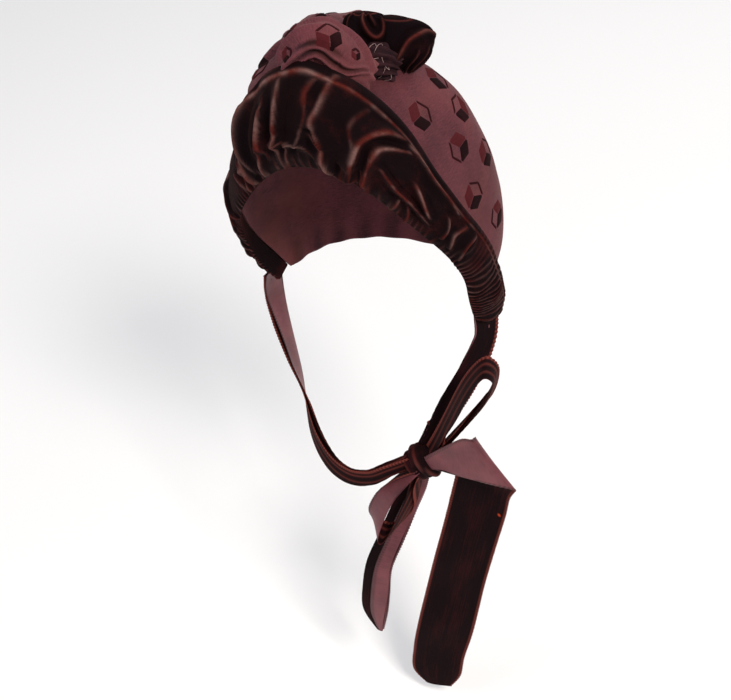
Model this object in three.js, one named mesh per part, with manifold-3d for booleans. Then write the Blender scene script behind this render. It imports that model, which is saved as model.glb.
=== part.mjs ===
// A bonnet of ruched velvet and figured crepe, with puffs and standing loops on its
// crown and velvet ribbon ties in a bow. Millimetres, +Z up. The wearer faces -Y and
// the wearer's left is +X. Lengths are first measured from the crown's widest level,
// and the whole is then hung on its seat, the highest point inside the crown.

import * as THREE from 'three';
import { mergeVertices } from 'three/addons/utils/BufferGeometryUtils.js';
import Module from 'manifold-3d';

const wasm = await Module();
wasm.setup();

// Crown: a soft cap of crepe
const crownWidth = 162;
const crownRise = 150;
const crownDrop = 28;
const crownBack = 79;
const crownFront = 78;
const crownSetBack = 18;
const crownOffset = 2;
const crownSkew = 7;
const crownSquareness = 2.2;
const crepeWall = 2;

// Opening: the plane that the face looks out of, leaning back from the upright
const openingLean = 29.6;
const rimDepth = 14;

// Brim: the turned-up velvet band, swept to both ears
const brimSweep = 120;
const brimDepth = 43;
const brimStand = 43;
const brimPadding = 10;
const brimFoldHeight = 3.5;
const brimFoldWidth = 5;

// Loops, puffs and folds on the crown
const velvetWall = 2;
const largePuffWidth = 64;
const largePuffHeight = 30;
const smallPuffWidth = 56;
const smallPuffHeight = 44;
const loopHeight = 29;
const loopWidth = 32;
const swagWidth = 56;
const swagThickness = 10;
const lowerFoldWidth = 20;
const lowerFoldThickness = 9;
const gatherWidth = 22;
const gatherHeight = 12;

// Ties and bow, in velvet ribbon
const ribbonWidth = 42;
const ribbonWall = 1.6;
const knotWidth = 26;
const knotDepthShare = 0.7;
const knotHeightShare = 1.1;
const knotLean = 20;
const upperLoopLength = 104;
const lowerLoopLength = 66;
const narrowTailLength = 172;
const wideTailLength = 226;

// Clear space left between pieces that touch
const fitGap = 0.4;

// Half of the thinnest that a form narrows to at its ends
const leastHalf = 0.3;

const degree = Math.PI / 180;

// Where the pieces are measured from
const crownMiddle = new THREE.Vector3(0, crownSetBack, 0);
const openingUp = new THREE.Vector3(0, -Math.sin(openingLean * degree), Math.cos(openingLean * degree));
const openingBack = new THREE.Vector3(0, Math.cos(openingLean * degree), Math.sin(openingLean * degree));

// Reads a table at a share of its length, on a smooth curve through its rows
function readTable(rows, share) {
  const place = share * (rows.length - 1);
  const row = Math.min(Math.floor(place), rows.length - 2);
  const part = place - row;
  const rowAt = (index) => rows[Math.max(0, Math.min(rows.length - 1, index))];
  const result = {};
  for (const name of Object.keys(rows[0])) {
    const [a, b, c, d] = [row - 1, row, row + 1, row + 2].map((index) => rowAt(index)[name]);
    const bend = 2 * a - 5 * b + 4 * c - d + part * (3 * (b - c) + d - a);
    result[name] = b + 0.5 * part * (c - a + part * bend);
  }
  return result;
}

// Crown rings from the hem to the top, as shares of the crown's sizes
const crownRings = [
  { rise: 0.00, drop: 1.00, side: 0.905, back: 0.89, front: 0.93 },
  { rise: 0.00, drop: 0.00, side: 0.965, back: 0.98, front: 0.97 },
  { rise: 0.13, drop: 0.00, side: 1.000, back: 1.00, front: 1.00 },
  { rise: 0.27, drop: 0.00, side: 1.000, back: 1.00, front: 1.00 },
  { rise: 0.43, drop: 0.00, side: 0.945, back: 0.97, front: 0.98 },
  { rise: 0.60, drop: 0.00, side: 0.845, back: 0.87, front: 0.95 },
  { rise: 0.75, drop: 0.00, side: 0.715, back: 0.72, front: 0.90 },
  { rise: 0.87, drop: 0.00, side: 0.548, back: 0.53, front: 0.78 },
  { rise: 0.95, drop: 0.00, side: 0.360, back: 0.34, front: 0.56 },
  { rise: 1.00, drop: 0.00, side: 0.040, back: 0.04, front: 0.08 },
];

// One ring's sizes in millimetres, grown outwards by an offset
function crownRing(share, offset) {
  const row = readTable(crownRings, share);
  return {
    height: row.rise * (crownRise + offset) - row.drop * crownDrop,
    side: row.side * crownWidth / 2 + offset,
    back: row.back * crownBack + offset,
    front: row.front * crownFront + offset,
  };
}

// The ring that lies at a height
function crownRingAt(height, offset) {
  let low = 0;
  let high = 1;
  for (let step = 0; step < 24; step += 1) {
    const middle = (low + high) / 2;
    if (crownRing(middle, offset).height < height) low = middle;
    else high = middle;
  }
  return crownRing((low + high) / 2, offset);
}

// The cap sits a little askew to the wearer's left, its back more than its front
function crownShift(y) {
  return crownOffset + crownSkew * THREE.MathUtils.smoothstep(y, 0, 2.5 * crownSetBack);
}

function insideCrown(point, offset) {
  if (point.z > crownRise + offset) return false;
  const ring = crownRingAt(point.z, offset);
  const y = point.y - crownSetBack;
  const reach = y > 0 ? ring.back : ring.front;
  const across = Math.abs((point.x - crownShift(point.y)) / ring.side) ** crownSquareness;
  return across + Math.abs(y / reach) ** crownSquareness < 1;
}

// How far the crown's surface lies from a point inside it, along a direction
function crownReach(from, direction, offset) {
  let low = 0;
  let high = crownWidth + crownRise;
  for (let step = 0; step < 24; step += 1) {
    const middle = (low + high) / 2;
    const point = from.clone().addScaledVector(direction, middle);
    if (insideCrown(point, offset)) low = middle;
    else high = middle;
  }
  return (low + high) / 2;
}

// A closed geometry from rings of points, with a fan of triangles over each end
function loftRings(rings) {
  const sides = rings[0].length;
  const positions = [];
  const indices = [];
  for (const ring of rings) for (const point of ring) positions.push(point.x, point.y, point.z);
  for (let ring = 0; ring + 1 < rings.length; ring += 1) {
    for (let side = 0; side < sides; side += 1) {
      const next = (side + 1) % sides;
      const [a, b] = [ring * sides + side, ring * sides + next];
      indices.push(a, b, b + sides, a, b + sides, a + sides);
    }
  }
  for (const end of [0, rings.length - 1]) {
    const middle = new THREE.Vector3();
    for (const point of rings[end]) middle.addScaledVector(point, 1 / sides);
    const centre = positions.length / 3;
    positions.push(middle.x, middle.y, middle.z);
    for (let side = 0; side < sides; side += 1) {
      const [a, b] = [end * sides + side, end * sides + (side + 1) % sides];
      if (end === 0) indices.push(centre, b, a);
      else indices.push(centre, a, b);
    }
  }
  const geometry = new THREE.BufferGeometry();
  geometry.setAttribute('position', new THREE.Float32BufferAttribute(positions, 3));
  geometry.setIndex(indices);
  return geometry;
}

// A manifold solid of a closed geometry, turned the right way out
function toSolid(source) {
  let geometry = source.clone();
  geometry.deleteAttribute('normal');
  geometry.deleteAttribute('uv');
  geometry = mergeVertices(geometry, 1e-4);
  const build = (flip) => {
    const triangles = Uint32Array.from(geometry.index.array);
    if (flip) {
      for (let corner = 0; corner < triangles.length; corner += 3) {
        [triangles[corner], triangles[corner + 1]] = [triangles[corner + 1], triangles[corner]];
      }
    }
    const vertProperties = Float32Array.from(geometry.attributes.position.array);
    return new wasm.Manifold(new wasm.Mesh({ numProp: 3, vertProperties, triVerts: triangles }));
  };
  const solid = build(false);
  return solid.volume() < 0 ? build(true) : solid;
}

function toGeometry(solid) {
  const mesh = solid.getMesh();
  const geometry = new THREE.BufferGeometry();
  geometry.setAttribute('position', new THREE.Float32BufferAttribute(mesh.vertProperties, 3));
  geometry.setIndex(new THREE.Uint32BufferAttribute(mesh.triVerts, 1));
  geometry.computeVertexNormals();
  return geometry;
}

// A solid of the crown's outer form, grown by an offset and lengthened below its hem
function crownForm(offset, extraDrop, levels, sides) {
  const rings = [];
  for (let level = 0; level <= levels; level += 1) {
    const ring = crownRing(level / levels, offset);
    const height = level === 0 ? ring.height - extraDrop : ring.height;
    const points = [];
    for (let side = 0; side < sides; side += 1) {
      const turn = 2 * Math.PI * side / sides;
      const [sine, cosine] = [Math.sin(turn), Math.cos(turn)];
      const reach = cosine > 0 ? ring.back : ring.front;
      const round = (value) => Math.sign(value) * Math.abs(value) ** (2 / crownSquareness);
      const y = crownSetBack + reach * round(cosine);
      points.push(new THREE.Vector3(crownShift(y) - ring.side * round(sine), y, height));
    }
    rings.push(points);
  }
  return toSolid(loftRings(rings));
}

// A large block that fills everything in front of a depth behind the opening
function openingBlock(depth) {
  const size = 4 * crownRise;
  const block = new THREE.BoxGeometry(size, size, size);
  block.rotateX(openingLean * degree);
  const middle = openingBack.clone().multiplyScalar(depth - size / 2);
  block.translate(middle.x, middle.y, middle.z);
  return toSolid(block);
}

const crownLevels = 13;
const crownSides = 34;

function makeCrown() {
  const outer = crownForm(0, 0, crownLevels, crownSides);
  const inner = crownForm(-crepeWall, crownDrop, crownLevels, crownSides);
  return outer.subtract(inner).subtract(openingBlock(rimDepth));
}

// Brim sections from the top of the head to the ear. Angles are shares of the sweep,
// depths of the brim's depth, stand and bulge of the stand, all over the crown. On the
// wearer's right the brim lies flatter and keeps only a share of its stand and folds.
const brimSections = [
  { angle: 0.00, edge: 0.26, top: 1.00, stand: 0.86, bulge: 0.20, roll: 1.00, right: 1.00 },
  { angle: 0.08, edge: 0.24, top: 0.95, stand: 0.68, bulge: 0.20, roll: 1.00, right: 0.95 },
  { angle: 0.17, edge: 0.18, top: 0.86, stand: 0.39, bulge: 0.18, roll: 1.00, right: 0.85 },
  { angle: 0.25, edge: 0.13, top: 0.70, stand: 0.23, bulge: 0.13, roll: 0.95, right: 0.60 },
  { angle: 0.33, edge: 0.10, top: 0.57, stand: 0.22, bulge: 0.10, roll: 0.90, right: 0.40 },
  { angle: 0.42, edge: 0.09, top: 0.50, stand: 0.20, bulge: 0.08, roll: 0.90, right: 0.30 },
  { angle: 0.54, edge: 0.08, top: 0.47, stand: 0.20, bulge: 0.08, roll: 0.85, right: 0.35 },
  { angle: 0.67, edge: 0.06, top: 0.42, stand: 0.20, bulge: 0.08, roll: 0.80, right: 0.50 },
  { angle: 0.80, edge: 0.03, top: 0.41, stand: 0.20, bulge: 0.08, roll: 0.75, right: 0.70 },
  { angle: 0.92, edge: 0.02, top: 0.42, stand: 0.19, bulge: 0.06, roll: 0.65, right: 1.00 },
  { angle: 1.00, edge: 0.04, top: 0.38, stand: 0.16, bulge: 0.05, roll: 0.50, right: 1.00 },
];

// Folds of the ruched velvet: the angle where each leaves the edge and where it
// reaches the top, in shares of the sweep, and its height in shares of a fold's
const brimFolds = [
  { edge: -0.93, top: -0.86, height: 0.7 },
  { edge: -0.80, top: -0.72, height: 0.8 },
  { edge: -0.62, top: -0.74, height: 0.9 },
  { edge: -0.50, top: -0.44, height: 0.8 },
  { edge: -0.36, top: -0.46, height: 1.0 },
  { edge: -0.26, top: -0.27, height: 0.8 },
  { edge: -0.13, top: -0.17, height: 1.0 },
  { edge: 0.06, top: 0.07, height: 1.0 },
  { edge: 0.16, top: 0.24, height: 1.0 },
  { edge: 0.27, top: 0.22, height: 0.9 },
  { edge: 0.40, top: 0.34, height: 1.0 },
  { edge: 0.52, top: 0.46, height: 0.9 },
  { edge: 0.66, top: 0.60, height: 0.8 },
  { edge: 0.76, top: 0.80, height: 0.9 },
  { edge: 0.92, top: 0.90, height: 0.7 },
];

// A section is read by its angle, since the table's angles aren't evenly spaced
function brimSectionAt(turn) {
  const target = Math.abs(turn);
  let low = 0;
  let high = 1;
  for (let step = 0; step < 24; step += 1) {
    const middle = (low + high) / 2;
    if (readTable(brimSections, middle).angle < target) low = middle;
    else high = middle;
  }
  return readTable(brimSections, (low + high) / 2);
}

// How far the folds lift the velvet at a turn of the sweep and a share of the face
function brimFoldLift(turn, rise) {
  let lift = 0;
  for (const fold of brimFolds) {
    const ridge = fold.edge + (fold.top - fold.edge) * rise;
    const away = (turn - ridge) * brimSweep * degree * crownRise / 2 / brimFoldWidth;
    lift += fold.height * brimFoldHeight * Math.exp(-away * away);
  }
  return lift * Math.sin(Math.PI * Math.min(1, 0.12 + 0.76 * rise));
}

// One closed section of the brim. The outer face rises from the edge, rolls over the
// top and comes down behind; the inner face follows the crown and the head's hollow.
function brimRing(turn, grow) {
  const angle = turn * brimSweep * degree;
  const outwards = new THREE.Vector3(Math.sin(angle), 0, 0).addScaledVector(openingUp, Math.cos(angle));
  const row = brimSectionAt(turn);
  const at = (radius, depth) => outwards.clone().multiplyScalar(radius).addScaledVector(openingBack, depth);
  const reach = (depth, offset) => crownReach(openingBack.clone().multiplyScalar(depth), outwards, offset);
  const liningOver = (depth) => at(reach(depth, 3 * fitGap) - grow, depth);
  const liningInside = (depth) => at(reach(depth, -crepeWall) - grow, depth);
  const kept = turn < 0 ? row.right : 1;
  const padding = brimPadding * row.roll * (1 + kept) / 2 + 2 * grow;
  const stand = kept * row.stand * brimStand + (1 - kept) * padding;
  const edgeDepth = row.edge * brimDepth;
  const edge = { radius: reach(edgeDepth, -crepeWall) - grow, depth: edgeDepth - grow };
  const topDepth = row.top * brimDepth;
  const top = { radius: reach(topDepth, 0) + stand + grow, depth: topDepth };
  const rise = new THREE.Vector2(top.radius - edge.radius, top.depth - edge.depth).normalize();
  const face = new THREE.Vector2(rise.y, -rise.x);
  const points = [];
  const faceSteps = 9;
  for (let step = 0; step <= faceSteps; step += 1) {
    const share = step / faceSteps;
    const swell = row.bulge * brimStand * Math.sin(Math.PI * share) ** 0.7 + brimFoldLift(turn, share);
    const lift = kept * swell + grow + crepeWall * Math.min(1, share * 4);
    const radius = edge.radius + (top.radius - edge.radius) * share + face.x * lift;
    const depth = edge.depth + (top.depth - edge.depth) * share + face.y * lift;
    points.push(at(radius, depth));
  }
  const lip = points[points.length - 1];
  const behind = face.clone().multiplyScalar(-padding);
  for (const roll of [0.25, 0.5, 0.75]) {
    const turnOver = roll * Math.PI;
    const across = (1 - Math.cos(turnOver)) / 2;
    const over = Math.sin(turnOver) * padding / 2;
    points.push(lip.clone().addScaledVector(outwards, behind.x * across + rise.x * over)
      .addScaledVector(openingBack, behind.y * across + rise.y * over));
  }
  const backDepth = topDepth + padding * 0.6 + grow;
  const foot = liningOver(backDepth);
  const last = lip.clone().addScaledVector(outwards, behind.x).addScaledVector(openingBack, behind.y);
  for (const share of [0, 0.35, 0.7, 1]) points.push(last.clone().lerp(foot, share));
  const stepDepth = rimDepth - 2 * fitGap + grow;
  points.push(liningOver((backDepth + stepDepth) / 2), liningOver(stepDepth), liningInside(stepDepth));
  points.push(liningInside((stepDepth + edge.depth) / 2));
  return points;
}

function brimForm(grow, stations) {
  const rings = [];
  for (let station = 0; station <= stations; station += 1) {
    const past = 1 + grow / crownWidth;
    rings.push(brimRing((2 * station / stations - 1) * past, grow));
  }
  return toSolid(loftRings(rings));
}

const brimStations = 52;

// A padded or hollow form lofted over the crown. Each row gives the direction from the
// crown's middle, in shares of its sizes, the lift over its surface and half sizes of
// the section in shares of the form's width and height. Lobes ripple its outline.
function seatedRings(rows, size, shape, inset) {
  const rings = [];
  const centres = [];
  const normals = [];
  for (let step = 0; step <= shape.steps; step += 1) {
    const row = readTable(rows, step / shape.steps);
    const direction = new THREE.Vector3(
      row.side * crownWidth / 2, row.back * crownBack, row.up * crownRise).normalize();
    const distance = crownReach(crownMiddle, direction, 0) + row.lift * size.height;
    centres.push(crownMiddle.clone().addScaledVector(direction, distance));
    normals.push(direction);
  }
  for (let step = 0; step <= shape.steps; step += 1) {
    const row = readTable(rows, step / shape.steps);
    const [before, after] = [Math.max(0, step - 1), Math.min(shape.steps, step + 1)];
    const along = centres[after].clone().sub(centres[before]).normalize();
    const across = along.clone().cross(normals[step]).normalize();
    across.applyAxisAngle(along, (row.roll || 0) * degree);
    const upwards = across.clone().cross(along).normalize();
    const halfWidth = Math.max(leastHalf, row.width * size.width / 2 - inset);
    const halfHeight = Math.max(leastHalf, row.height * size.height - inset);
    const points = [];
    for (let side = 0; side < shape.sides; side += 1) {
      const turn = 2 * Math.PI * side / shape.sides;
      const round = (value) => Math.sign(value) * Math.abs(value) ** (2 / shape.squareness);
      const ripple = 1 + shape.ripple * Math.cos(shape.lobes * turn + shape.twist * step / shape.steps);
      points.push(centres[step].clone()
        .addScaledVector(across, halfWidth * ripple * round(Math.cos(turn)))
        .addScaledVector(upwards, halfHeight * ripple * round(Math.sin(turn))));
    }
    let reach = 0;
    if (step === 0) reach = inset > 0 ? -shape.mouth : inset;
    if (step === shape.steps) reach = -inset;
    for (const point of points) point.addScaledVector(along, reach);
    rings.push(points);
  }
  return rings;
}

function seatedSolid(rows, size, shape, grow) {
  return toSolid(loftRings(seatedRings(rows, size, shape, -grow)));
}

// The same form as a cloth wall, open at its first section
function seatedShell(rows, size, shape, wall) {
  const hollow = toSolid(loftRings(seatedRings(rows, size, shape, wall)));
  return seatedSolid(rows, size, shape, 0).subtract(hollow);
}

// Large puff, from its open mouth behind the brim to its end at the back
const largePuffRows = [
  { side: -0.28, back: -0.57, up: 0.90, lift: 0.08, width: 0.84, height: 0.62, roll: -16 },
  { side: -0.26, back: -0.34, up: 0.90, lift: 0.05, width: 0.96, height: 0.70, roll: -20 },
  { side: -0.24, back: -0.02, up: 0.90, lift: 0.04, width: 0.98, height: 0.75, roll: -20 },
  { side: -0.23, back: 0.30, up: 0.87, lift: 0.02, width: 0.98, height: 0.74, roll: -18 },
  { side: -0.21, back: 0.56, up: 0.79, lift: 0.00, width: 0.86, height: 0.62, roll: -14 },
  { side: -0.18, back: 0.78, up: 0.66, lift: -0.05, width: 0.44, height: 0.32, roll: -6 },
];

// Small puff, across the front from the wearer's right to left
const smallPuffRows = [
  { side: -0.14, back: -0.58, up: 0.92, lift: 0.50, width: 0.26, height: 0.20, roll: 0 },
  { side: -0.10, back: -0.54, up: 0.94, lift: 0.60, width: 0.46, height: 0.38, roll: 0 },
  { side: -0.02, back: -0.48, up: 0.96, lift: 0.64, width: 0.56, height: 0.50, roll: 0 },
  { side: 0.07, back: -0.46, up: 0.95, lift: 0.52, width: 0.56, height: 0.44, roll: 0 },
  { side: 0.15, back: -0.50, up: 0.92, lift: 0.36, width: 0.44, height: 0.32, roll: 0 },
  { side: 0.20, back: -0.53, up: 0.90, lift: 0.26, width: 0.22, height: 0.18, roll: 0 },
];

// Swag: the velvet pouch on the wearer's right, from the brim round to the back
const swagRows = [
  { side: -0.62, back: -0.61, up: 0.90, lift: 0.00, width: 0.28, height: 0.40 },
  { side: -0.75, back: -0.38, up: 0.86, lift: 0.00, width: 0.54, height: 0.85 },
  { side: -0.81, back: -0.10, up: 0.81, lift: 0.00, width: 0.76, height: 1.00 },
  { side: -0.80, back: 0.18, up: 0.75, lift: 0.00, width: 0.80, height: 1.00 },
  { side: -0.69, back: 0.43, up: 0.69, lift: 0.00, width: 0.64, height: 0.85 },
  { side: -0.55, back: 0.58, up: 0.67, lift: 0.00, width: 0.30, height: 0.40 },
];

// Lower fold, along the brim's back edge under the swag
const lowerFoldRows = [
  { side: -0.69, back: -0.61, up: 0.83, lift: 0.10, width: 0.30, height: 0.45 },
  { side: -0.83, back: -0.43, up: 0.75, lift: 0.15, width: 0.80, height: 0.90 },
  { side: -0.90, back: -0.30, up: 0.67, lift: 0.15, width: 1.00, height: 1.00 },
  { side: -0.94, back: -0.20, up: 0.59, lift: 0.10, width: 0.70, height: 0.80 },
  { side: -0.96, back: -0.14, up: 0.52, lift: 0.00, width: 0.25, height: 0.30 },
];

// Gathered stub that the loops and puffs spring from
const gatherRows = [
  { side: 0.10, back: -0.12, up: 0.95, lift: 0.10, width: 0.60, height: 0.60 },
  { side: 0.22, back: -0.08, up: 0.94, lift: 0.25, width: 1.00, height: 1.00 },
  { side: 0.34, back: -0.04, up: 0.90, lift: 0.10, width: 0.60, height: 0.60 },
];

// Standing loops: flattened tubes that rise from the gathers, each row at a share of
// the loop's height, with its lean sideways and back and half sizes of the tube
const frontLoopRows = [
  { side: 0.22, back: 0.00, rise: -0.15, width: 0.42, depth: 0.24, turn: 20 },
  { side: 0.19, back: 0.02, rise: 0.15, width: 0.60, depth: 0.32, turn: 22 },
  { side: 0.15, back: 0.03, rise: 0.45, width: 0.84, depth: 0.44, turn: 26 },
  { side: 0.12, back: 0.04, rise: 0.72, width: 0.90, depth: 0.44, turn: 28 },
  { side: 0.10, back: 0.05, rise: 0.92, width: 0.72, depth: 0.30, turn: 30 },
  { side: 0.09, back: 0.05, rise: 1.00, width: 0.40, depth: 0.14, turn: 30 },
];

const rearLoopRows = [
  { side: 0.35, back: 0.03, rise: -0.20, width: 0.50, depth: 0.26, turn: 20 },
  { side: 0.36, back: 0.05, rise: 0.12, width: 0.76, depth: 0.36, turn: 20 },
  { side: 0.38, back: 0.08, rise: 0.36, width: 1.06, depth: 0.48, turn: 18 },
  { side: 0.36, back: 0.10, rise: 0.58, width: 1.14, depth: 0.48, turn: 16 },
  { side: 0.30, back: 0.11, rise: 0.76, width: 0.86, depth: 0.34, turn: 14 },
  { side: 0.27, back: 0.12, rise: 0.84, width: 0.46, depth: 0.16, turn: 14 },
];

function standingRings(rows, steps, sides, inset) {
  const rings = [];
  const up = new THREE.Vector3(0, 0, 1);
  const foot = rows[0];
  const seat = new THREE.Vector3(foot.side * crownWidth / 2, crownSetBack + foot.back * crownBack, 0);
  seat.z = crownReach(seat, up, 0);
  for (let step = 0; step <= steps; step += 1) {
    const row = readTable(rows, step / steps);
    const centre = new THREE.Vector3(
      row.side * crownWidth / 2, crownSetBack + row.back * crownBack, seat.z + row.rise * loopHeight);
    const across = new THREE.Vector3(1, 0, 0).applyAxisAngle(up, row.turn * degree);
    const through = up.clone().cross(across);
    const halfWidth = Math.max(leastHalf, row.width * loopWidth / 2 - inset);
    const halfDepth = Math.max(leastHalf, row.depth * loopWidth / 2 - inset);
    const points = [];
    for (let side = 0; side < sides; side += 1) {
      const turn = 2 * Math.PI * side / sides;
      const pleat = 1 + 0.16 * Math.cos(5 * turn) * (1 - Math.max(0, row.rise));
      points.push(centre.clone().addScaledVector(across, halfWidth * Math.cos(turn))
        .addScaledVector(through, halfDepth * pleat * Math.sin(turn)));
    }
    rings.push(points);
  }
  return rings;
}

const loopSteps = 10;
const loopSides = 16;

function standingForm(rows, grow) {
  return toSolid(loftRings(standingRings(rows, loopSteps, loopSides, -grow)));
}

function standingLoop(rows) {
  const mouth = standingRings(rows, loopSteps, loopSides, velvetWall);
  for (const ring of mouth) for (const point of ring) point.z -= velvetWall;
  return standingForm(rows, 0).subtract(toSolid(loftRings(mouth)));
}

// Ribbon paths. Each row places the ribbon's middle and the width that it is folded to.
// The ties hang from the brim's tails and lie flat against the neck, apart from a turn
// about their own length. The bow's places are shares of its loops' and tails' lengths,
// from the knot, and yaw and pitch turn the ribbon's width from the left to the front
// and upwards.
const knotPlace = { side: 0.655, back: -0.544, drop: -0.848 };

const tieLeftRows = [
  { side: 0.98, back: 0.15, drop: -0.20, width: 0.50, turn: 35 },
  { side: 0.99, back: 0.10, drop: -0.34, width: 0.50, turn: 35 },
  { side: 0.92, back: -0.11, drop: -0.47, width: 0.46, turn: 35 },
  { side: 0.81, back: -0.30, drop: -0.60, width: 0.42, turn: 30 },
  { side: 0.69, back: -0.43, drop: -0.74, width: 0.30, turn: 20 },
  { side: 0.63, back: -0.48, drop: -0.80, width: 0.24, turn: 20 },
];

const tieRightRows = [
  { side: -0.93, back: 0.14, drop: -0.19, width: 0.50, turn: 0 },
  { side: -0.97, back: 0.20, drop: -0.29, width: 0.50, turn: 0 },
  { side: -0.96, back: 0.20, drop: -0.40, width: 0.50, turn: 0 },
  { side: -0.88, back: 0.12, drop: -0.51, width: 0.50, turn: 0 },
  { side: -0.74, back: -0.03, drop: -0.63, width: 0.50, turn: 0 },
  { side: -0.58, back: -0.20, drop: -0.75, width: 0.50, turn: 0 },
  { side: -0.39, back: -0.45, drop: -0.88, width: 0.46, turn: 0 },
  { side: -0.20, back: -0.59, drop: -0.97, width: 0.42, turn: 0 },
  { side: 0.00, back: -0.65, drop: -1.00, width: 0.38, turn: 0 },
  { side: 0.20, back: -0.66, drop: -0.97, width: 0.34, turn: 0 },
  { side: 0.37, back: -0.64, drop: -0.90, width: 0.30, turn: 0 },
  { side: 0.55, back: -0.56, drop: -0.85, width: 0.28, turn: 0 },
];

const upperLoopRows = [
  { side: 0.055, out: 0.00, up: 0.095, width: 0.26, yaw: 60, pitch: 0 },
  { side: 0.221, out: -0.05, up: 0.491, width: 0.46, yaw: 66, pitch: -4 },
  { side: 0.331, out: -0.08, up: 0.771, width: 0.50, yaw: 70, pitch: -6 },
  { side: 0.411, out: -0.08, up: 0.921, width: 0.50, yaw: 74, pitch: -4 },
  { side: 0.461, out: -0.06, up: 0.951, width: 0.50, yaw: 78, pitch: 0 },
  { side: 0.495, out: -0.02, up: 0.861, width: 0.50, yaw: 82, pitch: 8 },
  { side: 0.435, out: 0.03, up: 0.641, width: 0.50, yaw: 86, pitch: 12 },
  { side: 0.315, out: 0.08, up: 0.411, width: 0.42, yaw: 84, pitch: 10 },
  { side: 0.080, out: 0.03, up: 0.070, width: 0.28, yaw: 80, pitch: 6 },
];

const lowerLoopRows = [
  { side: -0.08, out: -0.05, up: -0.10, width: 0.34, yaw: 40, pitch: 20 },
  { side: -0.24, out: -0.17, up: -0.28, width: 0.46, yaw: 36, pitch: 24 },
  { side: -0.36, out: -0.24, up: -0.44, width: 0.50, yaw: 34, pitch: 20 },
  { side: -0.44, out: -0.29, up: -0.67, width: 0.50, yaw: 44, pitch: 10 },
  { side: -0.43, out: -0.32, up: -0.83, width: 0.50, yaw: 66, pitch: 0 },
  { side: -0.34, out: -0.29, up: -0.91, width: 0.50, yaw: 90, pitch: 0 },
  { side: -0.24, out: -0.23, up: -0.81, width: 0.50, yaw: 104, pitch: 0 },
  { side: -0.15, out: -0.17, up: -0.60, width: 0.46, yaw: 108, pitch: 0 },
  { side: -0.10, out: -0.11, up: -0.42, width: 0.40, yaw: 106, pitch: 0 },
  { side: -0.04, out: -0.04, up: -0.13, width: 0.32, yaw: 100, pitch: 0 },
];

const narrowTailRows = [
  { side: -0.020, out: 0.02, up: -0.045, width: 0.34, yaw: 0, pitch: 0 },
  { side: -0.057, out: 0.04, up: -0.187, width: 0.40, yaw: 0, pitch: 0 },
  { side: -0.107, out: 0.02, up: -0.327, width: 0.44, yaw: 0, pitch: 0 },
  { side: -0.147, out: -0.04, up: -0.457, width: 0.46, yaw: 5, pitch: 0 },
  { side: -0.187, out: -0.08, up: -0.587, width: 0.48, yaw: 5, pitch: 0 },
  { side: -0.207, out: -0.09, up: -0.737, width: 0.52, yaw: 5, pitch: 0 },
  { side: -0.217, out: -0.09, up: -0.877, width: 0.46, yaw: 5, pitch: 0 },
  { side: -0.197, out: -0.09, up: -0.987, width: 0.12, yaw: 5, pitch: 0 },
];

const wideTailRows = [
  { side: 0.022, out: -0.020, up: 0.020, width: 0.28, yaw: 0, pitch: -86 },
  { side: 0.106, out: -0.060, up: 0.089, width: 0.60, yaw: 0, pitch: -82 },
  { side: 0.173, out: -0.075, up: 0.118, width: 0.90, yaw: 0, pitch: -72 },
  { side: 0.238, out: -0.075, up: 0.123, width: 1.10, yaw: 0, pitch: -54 },
  { side: 0.242, out: -0.045, up: 0.099, width: 1.10, yaw: 0, pitch: -50 },
  { side: 0.202, out: -0.010, up: 0.005, width: 1.08, yaw: 0, pitch: -42 },
  { side: 0.182, out: -0.010, up: -0.095, width: 1.02, yaw: 0, pitch: -30 },
  { side: 0.152, out: -0.020, up: -0.250, width: 0.96, yaw: 0, pitch: -20 },
  { side: 0.122, out: -0.030, up: -0.405, width: 0.96, yaw: 0, pitch: -18 },
  { side: 0.097, out: -0.030, up: -0.540, width: 0.98, yaw: 0, pitch: -10 },
  { side: 0.072, out: -0.040, up: -0.685, width: 1.00, yaw: 0, pitch: 0 },
  { side: 0.047, out: -0.040, up: -0.820, width: 1.00, yaw: 0, pitch: 10 },
  { side: 0.037, out: -0.040, up: -0.925, width: 0.96, yaw: 0, pitch: 14 },
  { side: 0.042, out: -0.040, up: -0.990, width: 0.50, yaw: 0, pitch: 14 },
];

const onHead = (row) => new THREE.Vector3(
  row.side * crownWidth / 2, crownSetBack + row.back * crownBack, row.drop * crownRise);
const knotMiddle = onHead(knotPlace);

const fromKnot = (length) => (row) => knotMiddle.clone().add(
  new THREE.Vector3(row.side, row.out, row.up).multiplyScalar(length));

// Across a tie: along the neck's surface, turned about the tie's length
function againstNeck(row, centre, along) {
  const outwards = new THREE.Vector3(centre.x, centre.y - crownSetBack, 0).normalize();
  outwards.addScaledVector(along, -outwards.dot(along)).normalize();
  outwards.applyAxisAngle(along, row.turn * degree);
  return along.clone().cross(outwards);
}

// Across a ribbon of the bow
function turnedBy(row) {
  const [yaw, pitch] = [row.yaw * degree, row.pitch * degree];
  return new THREE.Vector3(Math.cos(yaw) * Math.cos(pitch), -Math.sin(yaw) * Math.cos(pitch), Math.sin(pitch));
}

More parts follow.
